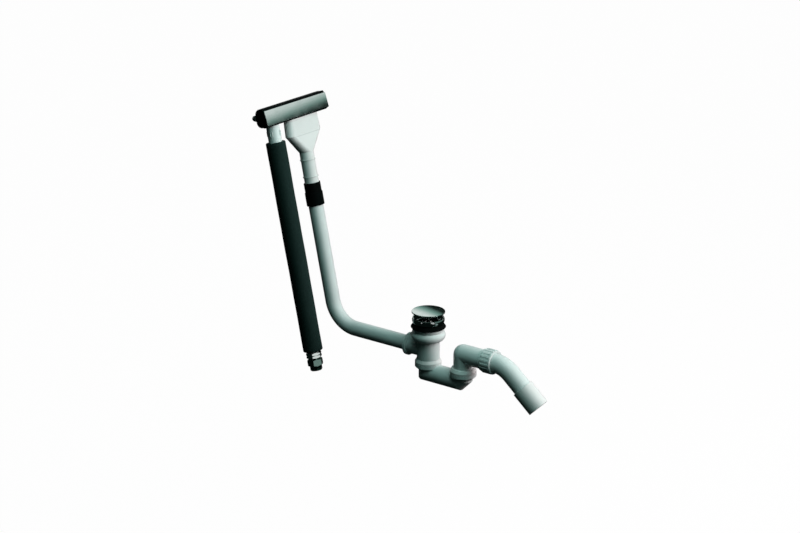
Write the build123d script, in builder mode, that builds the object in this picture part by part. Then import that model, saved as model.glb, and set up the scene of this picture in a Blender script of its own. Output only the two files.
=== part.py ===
"""Bath waste, trap, overflow and wall filler, in millimetres.

The origin is on the axis of the bath outlet, on the seat where the flange and the gasket
clamp the bath floor. +Z is up, +X runs from the overflow to the trap outlet.
"""

import os
from itertools import pairwise
from math import cos, radians, sin

from build123d import *

os.makedirs("parts", exist_ok=True)

# Fits
running_gap = 0.3
seal_gap = 0.1
push_gap = 0.2

# Plug lid, seal and click cartridge
lid_dia = 70.0
lid_rim = 3.0
lid_crown = 0.8
lid_open_height = 26.2
plug_travel = 10.2
seal_width = 5.0
seal_height = 2.0
stem_dia = 8.0
stem_thread_length = 4.0
lid_boss_wall = 3.0
piston_dia = 10.4
piston_height = 4.0
guide_pin_dia = 5.0
guide_pin_length = 4.0
cartridge_wall = 2.4
cartridge_roof = 7.0
cartridge_shoulder = 2.5
spring_wire = 1.2
spring_turns = 5
spring_length = 20.0
cap_plug_length = 4.0
cap_flange = 2.0

# Bath flange
flange_dia = 68.0
flange_height = 12.5
flange_belly_height = 7.7
flange_foot_inset = 2.5
flange_rim_width = 2.0
throat_dia = 43.0
throat_depth = 8.5
tail_dia = 50.0
tail_length = 22.0
hub_wall = 3.0
hub_top_depth = 3.0
hub_height = 12.0
spider_arms = 4
spider_arm_width = 3.0
spider_arm_height = 8.0

# Gasket under the bath floor and the waste body
gasket_height = 8.7
gasket_flare = 5.5
lip_height = 5.3
lip_inset = 3.5
groove_height = 3.0
groove_depth = 2.0
bowl_bulge = 4.6
bowl_side_height = 9.0
bowl_base_height = 12.0
body_wall = 3.0
neck_depth = 13.0
barrel_dia = 48.0
barrel_length = 40.0
branch_drop = 19.2

# Overflow branch and pipe
pipe_dia = 32.0
pipe_wall = 2.0
branch_reach = 52.0
branch_collar_length = 8.0
branch_collar_dia = 48.5
branch_neck_dia = 41.0
branch_socket_depth = 25.0
branch_seal_width = 5.0
branch_seal_height = 3.0
branch_lip = 1.5
waste_to_riser = 244.2
riser_lean = 12.0
pipe_bend_radius = 64.0
riser_length = 289.0

# Trap
trap_dia = 40.0
trap_wall = 2.2
trap_span = 90.0
trap_crown = 3.0
trap_mitre = 10.0
socket_wall = 3.0
socket_height = 18.5
socket_foot = 6.5
socket_ledge = 14.0
socket_bead = 6.3
ring_height = 10.7
ring_cone = 6.0
ring_wall = 2.4
trap_seal_width = 3.4
trap_seal_height = 5.0

# Outlet elbow, union, bend and sleeve
elbow_dia = 41.0
elbow_rise = 29.2
elbow_ball_step = 0.2
elbow_reach = 67.0
union_thread_dia = 46.0
union_thread_length = 15.5
thread_ring_width = 3.0
thread_ring_depth = 1.2
union_seal_height = 3.0
union_collar_height = 4.0
union_shoulder = 2.8
nut_wall = 1.7
nut_skirt = 9.5
nut_front = 7.0
nut_ribs = 18
nut_rib_height = 0.7
nut_rib_width = 4.6
bend_angle = 45.0
bend_turn = 8.0
bend_radius = 60.0
bend_vertex = 102.0
bend_leg = 84.0
sleeve_wall = 2.85
sleeve_length = 52.0
sleeve_overlap = 24.0
sleeve_stop = 2.0
sleeve_chamfer = 1.0

# Coupling and funnel
coupling_lower = 26.0
coupling_upper = 21.0
coupling_stop = 2.0
coupling_wall = 1.7
coupling_ring_wall = 1.2
coupling_ring_chamfer = 0.8
spigot_dia = 30.5
spigot_length = 88.5
spigot_wall = 2.2
spigot_rings = (33.0, 70.0)
spigot_ring_width = 2.0
spigot_ring_height = 1.5
funnel_width = 102.0
funnel_top_width = 97.0
funnel_depth = 24.0
funnel_taper = 40.0
funnel_height = 36.0
funnel_wall = 2.5
funnel_neck_width = 86.0
funnel_neck_depth = 11.0
funnel_neck_height = 9.0
funnel_seal_width = 1.8
funnel_seal_height = 2.0
funnel_collar_wall = 1.9

# Overflow head
head_length = 199.0
head_height = 40.0
head_shift = 27.5
housing_back = 11.0
housing_front = 9.5
housing_round = 12.0
housing_end_round = 5.0
housing_wall = 2.5
partition_place = 34.0
gasket_thickness = 3.0
gasket_end = 24.0
gasket_edge = 6.0
carrier_depth = 5.0
carrier_web = 1.5
carrier_wall = 2.5
carrier_ribs = (-30.0, 25.0)
window_height = 20.0
overflow_window = 78.0
filler_window = 30.0
plate_height = 32.0
plate_thickness = 2.5
plate_tilt = 8.0
plate_chamfer = 0.6
bolt_dia = 8.0
bolt_inset = 12.0
bolt_head_dia = 13.0
bolt_head_height = 2.0
bolt_engagement = 10.0
boss_wall = 3.75
washer_dia = 16.0
washer_thickness = 1.6
cap_nut_flats = 13.0
cap_nut_hex = 6.5
cap_nut_height = 15.0

# Filler supply
supply_offset = 90.0
stub_dia = 28.0
stub_show = 36.0
stub_sunk = 25.0
stub_crown = 10.0
stub_spigot_dia = 15.0
stub_spigot_length = 16.0
stub_spigot_wall = 1.6
inlet_boss_wall = 1.8
oring_section = 2.4
oring_depth = 1.3
oring_place = 6.0
lug_length = 13.0
lug_width = 6.0
lug_rim = 1.5
lug_height = 1.0
lug_turn = -70.0
stub_lugs = 4
supply_dia = 22.0
supply_wall = 2.0
foam_dia = 42.0
foam_length = 453.0
supply_bare = 3.0
hex_flats = 30.0
supply_nut_height = 12.0
supply_nut_lid = 6.0
compression_height = 3.4
fitting_collar = 3.0
fitting_neck_dia = 25.0
fitting_hex_height = 14.0
fitting_thread_dia = 26.4
fitting_thread_length = 11.0
fitting_bore = 17.0
fitting_socket_depth = 10.0
fitting_chamfer = 1.2


# Shared levels on the outlet axis
body_top = -gasket_height
lip_bottom = body_top - lip_height
bowl_top = lip_bottom - groove_height
bowl_bottom = bowl_top - bowl_side_height - bowl_base_height
barrel_bottom = bowl_bottom - barrel_length
branch_level = bowl_bottom - branch_drop
ring_bottom = barrel_bottom - ring_height
trap_level = ring_bottom - running_gap - trap_dia / 2
elbow_level = barrel_bottom + elbow_rise
flange_foot_radius = flange_dia / 2 - flange_foot_inset
gasket_radius = flange_foot_radius + gasket_flare
lip_radius = gasket_radius - lip_inset
groove_radius = lip_radius - groove_depth
bowl_radius = groove_radius + bowl_bulge
stem_bore = stem_dia / 2 + running_gap
cartridge_bore = piston_dia / 2 + running_gap
cartridge_radius = cartridge_bore + cartridge_wall
hub_bore = cartridge_radius + seal_gap
hub_radius = hub_bore + hub_wall
hub_top = -hub_top_depth
cartridge_top = hub_top + cartridge_shoulder
piston_top = cartridge_top - cartridge_roof - running_gap
piston_bottom = piston_top - piston_height
spring_floor = piston_bottom - spring_length
cartridge_bottom = spring_floor - cap_plug_length
lid_bottom = lid_open_height - lid_rim
lid_boss_bottom = lid_bottom - stem_thread_length

# Shared levels along the riser and the supply, counted from the bend's corner
spigot_bottom = riser_length + coupling_stop
funnel_neck = spigot_bottom + spigot_length
funnel_shoulder = funnel_neck + funnel_taper
head_level = funnel_shoulder + funnel_height
foam_top = head_level - stub_show
foam_bottom = foam_top - foam_length
stub_bottom = foam_top - stub_sunk
supply_nut_top = foam_bottom - supply_bare
supply_nut_bottom = supply_nut_top - supply_nut_height
fitting_hex_top = supply_nut_bottom - fitting_collar
fitting_hex_bottom = fitting_hex_top - fitting_hex_height
supply_bottom = supply_nut_bottom - fitting_socket_depth


def along(base: Plane, x: float = 0.0, y: float = 0.0, z: float = 0.0) -> Plane:
    """Return the plane moved by local distances, with the same directions."""
    origin = base.from_local_coords(Vector(x, y, z))
    return Plane(origin, x_dir=base.x_dir, z_dir=base.z_dir)


def section(base: Plane) -> Plane:
    """Return the plane through the axis of base, for a profile drawn as (radius, height)."""
    return Plane(base.origin, x_dir=base.x_dir, z_dir=-base.y_dir)


def axis_of(base: Plane) -> Axis:
    """Return the axis that a profile on section(base) is turned about."""
    return Axis(base.origin, base.z_dir)


def profile(*points: tuple[float, float]) -> Polygon:
    """Add a closed outline to the sketch, with its points where they are given."""
    return Polygon(*points, align=None)


def ring_profile(inner: float, outer: float, bottom: float, top: float) -> Polygon:
    """Add the section of a plain ring to the sketch."""
    return profile((inner, bottom), (outer, bottom), (outer, top), (inner, top))


def flat_slot(width: float, depth: float, mode: Mode = Mode.ADD) -> SlotOverall:
    """Add a slot to the sketch, its width along the head and its depth across it."""
    return SlotOverall(width, depth, rotation=90, mode=mode)


def crowned_pipe(corners: list[Vector], radius: float, crown: float) -> Part:
    """Return a solid pipe of mitred runs, its square first corner rounded by a sphere of radius crown."""
    runs = [(end - start).normalized() for start, end in pairwise(corners)]
    pipe = Part()
    for place, (start, end) in enumerate(pairwise(corners)):
        before = 2 * radius if place > 0 else 0
        after = 2 * radius if place < len(runs) - 1 else 0
        base = Plane(start - runs[place] * before, z_dir=runs[place])
        piece = extrude(base * Circle(radius), amount=(end - start).length + before + after)
        if before:
            mitre = Plane(start, z_dir=runs[place - 1] + runs[place])
            piece = split(piece, bisect_by=mitre, keep=Keep.TOP)
        if after:
            mitre = Plane(end, z_dir=runs[place] + runs[place + 1])
            piece = split(piece, bisect_by=mitre, keep=Keep.BOTTOM)
        pipe += piece
    quarter = Plane(corners[1], x_dir=runs[0], z_dir=runs[1].cross(runs[0]))
    block = Box(2 * radius, 2 * radius, 4 * radius, align=(Align.MIN, Align.MIN, Align.CENTER))
    return pipe - (quarter * block - Pos(corners[1]) * Sphere(crown))


lean = radians(riser_lean)
waste = Plane.XY
outlet_leg = along(waste, x=trap_span)
elbow_run = Plane((trap_span, 0, elbow_level), x_dir=(0, 1, 0), z_dir=(1, 0, 0))
branch_run = Plane((0, 0, branch_level), x_dir=(0, 0, 1), z_dir=(-1, 0, 0))
riser = Plane(
    (-waste_to_riser, 0, branch_level),
    x_dir=(cos(lean), 0, sin(lean)),
    z_dir=(-sin(lean), 0, cos(lean)),
)
supply = along(riser, y=-supply_offset)
head = along(riser, y=-head_shift, z=head_level)

# Plug lid: a shallow crowned disc with a threaded boss below
lid_radius = lid_dia / 2
lid_boss_radius = stem_dia / 2 + lid_boss_wall
with BuildPart() as plug_lid:
    with BuildSketch(section(waste)):
        with BuildLine():
            crown = ThreePointArc(
                (-lid_radius, lid_open_height),
                (0, lid_open_height + lid_crown),
                (lid_radius, lid_open_height),
            )
            Polyline(crown @ 1, (lid_radius, lid_bottom), (-lid_radius, lid_bottom), crown @ 0)
        make_face()
        split(bisect_by=Plane.YZ)
        fillet(vertices().group_by(Axis.X)[-1], radius=lid_rim / 3)
    revolve(axis=axis_of(waste))
    with BuildSketch(Plane.XY.offset(lid_bottom)):
        Circle(lid_boss_radius)
    extrude(amount=-stem_thread_length)
    with BuildSketch(Plane.XY.offset(lid_boss_bottom)):
        Circle(stem_dia / 2 + seal_gap)
    extrude(amount=stem_thread_length, mode=Mode.SUBTRACT)
plug_lid.part.label = "plug_lid"
export_step(plug_lid.part, "parts/plug_lid.step")

# Bath flange: bulged rim, dish, threaded tail and the spider that holds the cartridge
rim_outer = flange_dia / 2 - flange_rim_width / 2
rim_inner = rim_outer - flange_rim_width
dish_bottom = flange_height - throat_depth
with BuildPart() as waste_flange:
    with BuildSketch(section(waste)):
        with BuildLine():
            belly = ThreePointArc(
                (flange_foot_radius, 0),
                (flange_dia / 2, flange_belly_height),
                (rim_outer, flange_height),
            )
            Polyline(
                belly @ 1,
                (rim_inner, flange_height),
                (throat_dia / 2, dish_bottom),
                (throat_dia / 2, -tail_length),
                (tail_dia / 2, -tail_length),
                (tail_dia / 2, 0),
                belly @ 0,
            )
        make_face()
    revolve(axis=axis_of(waste))
    with BuildSketch(Plane.XY.offset(hub_top)):
        Circle(hub_radius)
    extrude(amount=-hub_height)
    arm_span = (throat_dia + tail_dia) / 4
    with BuildSketch(Plane.XY.offset(hub_top - (hub_height - spider_arm_height) / 2)):
        with PolarLocations(arm_span / 2, spider_arms):
            Rectangle(arm_span, spider_arm_width)
    extrude(amount=-spider_arm_height)
    with BuildSketch(Plane.XY.offset(hub_top)):
        Circle(hub_bore)
    extrude(amount=-hub_height, mode=Mode.SUBTRACT)
waste_flange.part.label = "waste_flange"
export_step(waste_flange.part, "parts/waste_flange.step")

# Plug seal: ring under the lid that closes on the dish
dish_slope = (flange_height - dish_bottom) / (rim_inner - throat_dia / 2)
closed_seal_bottom = lid_bottom - seal_height - plug_travel
seal_reach = throat_dia / 2 + (closed_seal_bottom - running_gap * 2 - dish_bottom) / dish_slope
with BuildPart() as plug_seal:
    with BuildSketch(section(waste)):
        ring_profile(seal_reach - seal_width, seal_reach, lid_bottom - seal_height, lid_bottom)
    revolve(axis=axis_of(waste))
plug_seal.part.label = "plug_seal"
export_step(plug_seal.part, "parts/plug_seal.step")

# Plug stem: rod, piston and the pin that guides the spring
with BuildPart() as plug_stem:
    with BuildSketch(section(waste)):
        profile(
            (0, lid_bottom),
            (stem_dia / 2, lid_bottom),
            (stem_dia / 2, piston_top),
            (piston_dia / 2, piston_top),
            (piston_dia / 2, piston_bottom),
            (guide_pin_dia / 2, piston_bottom),
            (guide_pin_dia / 2, piston_bottom - guide_pin_length),
            (0, piston_bottom - guide_pin_length),
        )
    revolve(axis=axis_of(waste))
plug_stem.part.label = "plug_stem"
export_step(plug_stem.part, "parts/plug_stem.step")

# Cartridge: sleeve with a shoulder on the hub, a roof that stops the piston and a cap below
with BuildPart() as cartridge_body:
    with BuildSketch(section(waste)):
        profile(
            (stem_bore, cartridge_top),
            (hub_radius, cartridge_top),
            (hub_radius, hub_top),
            (cartridge_radius, hub_top),
            (cartridge_radius, cartridge_bottom),
            (cartridge_bore, cartridge_bottom),
            (cartridge_bore, cartridge_top - cartridge_roof),
            (stem_bore, cartridge_top - cartridge_roof),
        )
    revolve(axis=axis_of(waste))
cartridge_body.part.label = "cartridge_body"
export_step(cartridge_body.part, "parts/cartridge_body.step")

with BuildPart() as cartridge_cap:
    with BuildSketch(section(waste)):
        profile(
            (0, spring_floor),
            (cartridge_bore - seal_gap, spring_floor),
            (cartridge_bore - seal_gap, cartridge_bottom),
            (cartridge_radius, cartridge_bottom),
            (cartridge_radius, cartridge_bottom - cap_flange),
            (0, cartridge_bottom - cap_flange),
        )
    revolve(axis=axis_of(waste))
cartridge_cap.part.label = "cartridge_cap"
export_step(cartridge_cap.part, "parts/cartridge_cap.step")

# Plug spring: open helix between the cap and the piston
spring_radius = (guide_pin_dia / 2 + cartridge_bore) / 2
coil_bottom = spring_floor + spring_wire / 2 + seal_gap
coil_height = spring_length - spring_wire - 2 * seal_gap
with BuildPart() as plug_spring:
    with BuildLine(Plane.XY.offset(coil_bottom)):
        coil = Helix(coil_height / spring_turns, coil_height, spring_radius)
    with BuildSketch(Plane(coil @ 0, z_dir=coil % 0)):
        Circle(spring_wire / 2)
    sweep(path=coil, is_frenet=True)
plug_spring.part.label = "plug_spring"
export_step(plug_spring.part, "parts/plug_spring.step")

# Bath gasket: flared rubber ring between the bath floor and the waste body
with BuildPart() as bath_gasket:
    with BuildSketch(section(waste)):
        profile(
            (tail_dia / 2 + running_gap, 0),
            (flange_foot_radius, 0),
            (gasket_radius - gasket_flare / 6, -gasket_height * 3 / 4),
            (gasket_radius, -gasket_height * 7 / 8),
            (gasket_radius - gasket_flare / 6, body_top),
            (tail_dia / 2 + running_gap, body_top),
        )
    revolve(axis=axis_of(waste))
bath_gasket.part.label = "bath_gasket"
export_step(bath_gasket.part, "parts/bath_gasket.step")

# Waste body: lip, groove, rounded bowl, barrel and spigot, with the overflow branch at one side
barrel_radius = barrel_dia / 2
spigot_radius = trap_dia / 2
spigot_bore = spigot_radius - trap_wall
spigot_end = barrel_bottom - socket_ledge
neck_bottom = body_top - neck_depth
pipe_radius = pipe_dia / 2
branch_bore = pipe_radius + push_gap
branch_stop = branch_reach - branch_socket_depth
collar_start = branch_reach - branch_collar_length
with BuildPart() as waste_body:
    with BuildSketch(section(waste)):
        with BuildLine():
            shoulder = ThreePointArc(
                (groove_radius, bowl_top),
                (bowl_radius - bowl_bulge / 5, bowl_top - bowl_side_height / 2),
                (bowl_radius, bowl_top - bowl_side_height),
            )
            base = RadiusArc(
                shoulder @ 1,
                (barrel_radius, bowl_bottom),
                bowl_base_height,
            )
            Polyline(
                base @ 1,
                (barrel_radius, barrel_bottom),
                (spigot_radius, barrel_bottom),
                (spigot_radius, spigot_end),
                (0, spigot_end),
                (0, body_top),
                (lip_radius, body_top),
                (lip_radius, lip_bottom),
                (groove_radius, lip_bottom),
                shoulder @ 0,
            )
        make_face()
    revolve(axis=axis_of(waste))
    with BuildSketch(section(branch_run)):
        profile(
            (0, 0),
            (branch_neck_dia / 2 - body_wall / 2, 0),
            (branch_neck_dia / 2, collar_start),
            (branch_collar_dia / 2, collar_start + branch_lip),
            (branch_collar_dia / 2, branch_reach - branch_lip),
            (branch_collar_dia / 2 - branch_lip, branch_reach),
            (0, branch_reach),
        )
    revolve(axis=axis_of(branch_run))
    inner_bowl = bowl_radius - body_wall
    inner_barrel = barrel_radius - body_wall
    with BuildSketch(section(waste)):
        profile(
            (0, body_top),
            (tail_dia / 2 + push_gap, body_top),
            (tail_dia / 2 + push_gap, neck_bottom),
            (inner_bowl - body_wall, neck_bottom - body_wall),
            (inner_bowl - body_wall, bowl_top - bowl_side_height),
            (inner_barrel, bowl_bottom),
            (inner_barrel, barrel_bottom + body_wall),
            (spigot_bore, barrel_bottom),
            (spigot_bore, spigot_end),
            (0, spigot_end),
        )
    revolve(axis=axis_of(waste), mode=Mode.SUBTRACT)
    with BuildSketch(section(branch_run)):
        profile(
            (0, 0),
            (pipe_radius - pipe_wall, 0),
            (pipe_radius - pipe_wall, branch_stop),
            (branch_bore, branch_stop),
            (branch_bore, branch_reach - branch_lip - branch_seal_width),
            (branch_bore + branch_seal_height, branch_reach - branch_lip - branch_seal_width),
            (branch_bore + branch_seal_height, branch_reach - branch_lip),
            (branch_bore, branch_reach - branch_lip),
            (branch_bore, branch_reach),
            (0, branch_reach),
        )
    revolve(axis=axis_of(branch_run), mode=Mode.SUBTRACT)
waste_body.part.label = "waste_body"
export_step(waste_body.part, "parts/waste_body.step")

with BuildPart() as branch_seal:
    with BuildSketch(section(branch_run)):
        ring_profile(
            pipe_radius + seal_gap,
            branch_bore + branch_seal_height - seal_gap,
            branch_reach - branch_lip - branch_seal_width,
            branch_reach - branch_lip,
        )
    revolve(axis=axis_of(branch_run))
branch_seal.part.label = "branch_seal"
export_step(branch_seal.part, "parts/branch_seal.step")

# Overflow pipe: level run, swept bend and leaning riser
with BuildPart() as overflow_pipe:
    with BuildLine():
        pipe_path = FilletPolyline(
            (-branch_stop - running_gap, 0, branch_level),
            riser.origin,
            riser.from_local_coords(Vector(0, 0, riser_length)),
            radius=pipe_bend_radius,
        )
    with BuildSketch(Plane(pipe_path @ 0, z_dir=(-1, 0, 0))):
        Circle(pipe_radius)
        Circle(pipe_radius - pipe_wall, mode=Mode.SUBTRACT)
    sweep(path=pipe_path)
overflow_pipe.part.label = "overflow_pipe"
export_step(overflow_pipe.part, "parts/overflow_pipe.step")

# Trap: bend with one crowned and one mitred corner between two sockets, each with a snap ring and a lip seal
trap_radius = trap_dia / 2
socket_bore = trap_radius + running_gap
seal_chamber = socket_bore + trap_seal_width
socket_mouth = barrel_bottom - ring_cone
socket_radius = seal_chamber + socket_wall
socket_neck = socket_radius - ring_wall / 2
ledge_level = spigot_end - running_gap
seal_bottom = socket_mouth - trap_seal_height
trap_corners = [
    Vector(0, 0, ring_bottom),
    Vector(0, 0, trap_level),
    Vector(trap_span - trap_mitre, 0, trap_level),
    Vector(trap_span, 0, trap_level + trap_mitre),
    Vector(trap_span, 0, ring_bottom),
]
trap_bore = trap_radius - trap_wall
trap_outside = crowned_pipe(trap_corners, trap_radius, trap_radius + trap_crown)
trap_inside = crowned_pipe(trap_corners, trap_bore, trap_bore + trap_crown)
with BuildPart() as trap_bend:
    add(trap_outside)
    for leg in (waste, outlet_leg):
        with BuildSketch(section(leg)):
            profile(
                (0, socket_mouth),
                (socket_neck, socket_mouth),
                (socket_neck, ring_bottom),
                (socket_neck + ring_wall, ring_bottom),
                (socket_neck + ring_wall, ring_bottom - socket_bead),
                (socket_radius, ring_bottom - socket_bead),
                (socket_radius, barrel_bottom - socket_height),
                (trap_radius - trap_wall / 2, barrel_bottom - socket_height - socket_foot),
                (0, barrel_bottom - socket_height - socket_foot),
            )
        revolve(axis=axis_of(leg))
    add(trap_inside, mode=Mode.SUBTRACT)
    for leg in (waste, outlet_leg):
        with BuildSketch(section(leg)):
            profile(
                (0, socket_mouth),
                (seal_chamber, socket_mouth),
                (seal_chamber, seal_bottom),
                (socket_bore, seal_bottom),
                (socket_bore, ledge_level),
                (0, ledge_level),
            )
        revolve(axis=axis_of(leg), mode=Mode.SUBTRACT)
trap_bend.part.label = "trap_bend"
export_step(trap_bend.part, "parts/trap_bend.step")

for place, leg in (("inlet", waste), ("outlet", outlet_leg)):
    with BuildPart() as socket_ring:
        with BuildSketch(section(leg)):
            profile(
                (socket_bore, barrel_bottom),
                (barrel_radius, barrel_bottom),
                (socket_neck + ring_wall, barrel_bottom - ring_cone),
                (socket_neck + ring_wall, ring_bottom),
                (socket_neck + seal_gap, ring_bottom),
                (socket_neck + seal_gap, socket_mouth),
                (socket_bore, socket_mouth),
            )
        revolve(axis=axis_of(leg))
    socket_ring.part.label = f"trap_{place}_ring"
    export_step(socket_ring.part, f"parts/trap_{place}_ring.step")
    with BuildPart() as socket_seal:
        with BuildSketch(section(leg)):
            ring_profile(socket_bore, seal_chamber - seal_gap, seal_bottom, socket_mouth)
        revolve(axis=axis_of(leg))
    socket_seal.part.label = f"trap_{place}_seal"
    export_step(socket_seal.part, f"parts/trap_{place}_seal.step")

# Outlet elbow: upright spigot, ball corner and a threaded end
elbow_radius = elbow_dia / 2
elbow_bore = trap_radius - trap_wall
thread_radius = union_thread_dia / 2
thread_start = elbow_reach - union_thread_length
with BuildPart() as outlet_elbow:
    with BuildSketch(section(outlet_leg)):
        profile(
            (0, elbow_level),
            (elbow_radius, elbow_level),
            (elbow_radius, barrel_bottom + running_gap),
            (trap_radius, barrel_bottom + running_gap),
            (trap_radius, spigot_end),
            (0, spigot_end),
        )
    revolve(axis=axis_of(outlet_leg))
    with Locations((trap_span, 0, elbow_level)):
        Sphere(elbow_radius - elbow_ball_step)
    with BuildSketch(section(elbow_run)):
        profile(
            (0, 0),
            (elbow_radius, 0),
            (elbow_radius, thread_start - thread_ring_depth),
            (thread_radius, thread_start),
            (thread_radius, thread_start + thread_ring_width),
            (thread_radius - thread_ring_depth, thread_start + thread_ring_width),
            (thread_radius - thread_ring_depth, thread_start + 2 * thread_ring_width),
            (thread_radius, thread_start + 2 * thread_ring_width),
            (thread_radius, elbow_reach),
            (0, elbow_reach),
        )
    revolve(axis=axis_of(elbow_run))
    with BuildSketch(Plane.XY.offset(spigot_end)):
        with Locations((trap_span, 0)):
            Circle(elbow_bore)
    extrude(amount=elbow_level - spigot_end, mode=Mode.SUBTRACT)
    with Locations((trap_span, 0, elbow_level)):
        Sphere(elbow_bore - elbow_ball_step, mode=Mode.SUBTRACT)
    with BuildSketch(elbow_run):
        Circle(elbow_bore)
    extrude(amount=elbow_reach, mode=Mode.SUBTRACT)
outlet_elbow.part.label = "outlet_elbow"
export_step(outlet_elbow.part, "parts/outlet_elbow.step")

# Union: flat seal, bend collar and the ribbed nut that pulls them on to the elbow
seal_end = elbow_reach + union_seal_height
collar_end = seal_end + union_collar_height
collar_radius = trap_radius + union_shoulder
nut_bore = thread_radius + running_gap
nut_radius = nut_bore + nut_wall
nut_start = elbow_reach - nut_skirt
nut_end = collar_end + nut_front
with BuildPart() as union_seal:
    with BuildSketch(section(elbow_run)):
        ring_profile(elbow_bore, collar_radius, elbow_reach, seal_end)
    revolve(axis=axis_of(elbow_run))
union_seal.part.label = "union_seal"
export_step(union_seal.part, "parts/union_seal.step")

with BuildPart() as union_nut:
    with BuildSketch(section(elbow_run)):
        ring_profile(nut_bore, nut_radius, nut_start, collar_end)
        profile(
            (trap_radius + running_gap, collar_end),
            (nut_radius, collar_end),
            (nut_radius, nut_end - nut_wall),
            (nut_radius - nut_wall, nut_end),
            (trap_radius + running_gap, nut_end),
        )
    revolve(axis=axis_of(elbow_run))
    rib_depth = nut_wall / 2 + nut_rib_height
    with BuildSketch(elbow_run.offset(nut_start)):
        with PolarLocations(nut_radius + nut_rib_height - rib_depth / 2, nut_ribs):
            Rectangle(rib_depth, nut_rib_width)
    extrude(amount=nut_end - nut_wall - nut_start)
union_nut.part.label = "union_nut"
export_step(union_nut.part, "parts/union_nut.step")

# Outlet bend: collar, swept 45 degree pipe turned a little about the elbow's run
fall = radians(bend_angle)
turn = radians(bend_turn)
leg_direction = Vector(cos(fall), sin(fall) * sin(turn), -sin(fall) * cos(turn))
bend_corner = elbow_run.origin + elbow_run.z_dir * bend_vertex
bend_end = bend_corner + leg_direction * bend_leg
bend_start = elbow_run.origin + elbow_run.z_dir * seal_end
with BuildPart() as outlet_bend:
    with BuildLine():
        bend_path = FilletPolyline(bend_start, bend_corner, bend_end, radius=bend_radius)
    with BuildSketch(elbow_run.offset(seal_end)):
        Circle(trap_radius)
        Circle(elbow_bore, mode=Mode.SUBTRACT)
    sweep(path=bend_path)
    with BuildSketch(elbow_run.offset(seal_end)):
        Circle(collar_radius)
        Circle((trap_radius + elbow_bore) / 2, mode=Mode.SUBTRACT)
    extrude(amount=union_collar_height)
outlet_bend.part.label = "outlet_bend"
export_step(outlet_bend.part, "parts/outlet_bend.step")

# Outlet sleeve: straight socket pushed over the bend, open for the next pipe
sleeve_bore = trap_radius + push_gap
sleeve_radius = sleeve_bore + sleeve_wall
sleeve_run = Plane(bend_end, x_dir=(0, 1, 0), z_dir=leg_direction)
sleeve_start = -sleeve_overlap
sleeve_end = sleeve_start + sleeve_length
with BuildPart() as outlet_sleeve:
    with BuildSketch(section(sleeve_run)):
        profile(
            (sleeve_bore, sleeve_start),
            (sleeve_radius, sleeve_start),
            (sleeve_radius, sleeve_end),
            (sleeve_bore + sleeve_chamfer, sleeve_end),
            (sleeve_bore, sleeve_end - sleeve_chamfer),
            (sleeve_bore, sleeve_stop),
            (elbow_bore, sleeve_stop),
            (elbow_bore, 0),
            (sleeve_bore, 0),
        )
    revolve(axis=axis_of(sleeve_run))
outlet_sleeve.part.label = "outlet_sleeve"
export_step(outlet_sleeve.part, "parts/outlet_sleeve.step")

# Coupling: rubber sleeve from the riser to the funnel's spigot, with a ring round its lower half
spigot_outer = spigot_dia / 2
coupling_bottom = riser_length - coupling_lower
coupling_top = spigot_bottom + coupling_upper
coupling_radius = pipe_radius + seal_gap + coupling_wall
with BuildPart() as coupling_sleeve:
    with BuildSketch(section(riser)):
        profile(
            (pipe_radius + seal_gap, coupling_bottom),
            (coupling_radius, coupling_bottom),
            (coupling_radius, coupling_top - coupling_wall / 2),
            (coupling_radius - coupling_wall / 2, coupling_top),
            (spigot_outer + seal_gap, coupling_top),
            (spigot_outer + seal_gap, spigot_bottom),
            (spigot_outer - spigot_wall, spigot_bottom),
            (spigot_outer - spigot_wall, riser_length),
            (pipe_radius + seal_gap, riser_length),
        )
    revolve(axis=axis_of(riser))
coupling_sleeve.part.label = "coupling_sleeve"
export_step(coupling_sleeve.part, "parts/coupling_sleeve.step")

coupling_ring_bore = coupling_radius + seal_gap
coupling_ring_radius = coupling_ring_bore + coupling_ring_wall
with BuildPart() as coupling_ring:
    with BuildSketch(section(riser)):
        profile(
            (coupling_ring_bore, coupling_bottom),
            (coupling_ring_radius - coupling_ring_chamfer, coupling_bottom),
            (coupling_ring_radius, coupling_bottom + 2 * coupling_ring_chamfer),
            (coupling_ring_radius, spigot_bottom),
            (coupling_ring_bore, spigot_bottom),
        )
    revolve(axis=axis_of(riser))
coupling_ring.part.label = "coupling_ring"
export_step(coupling_ring.part, "parts/coupling_ring.step")


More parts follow.
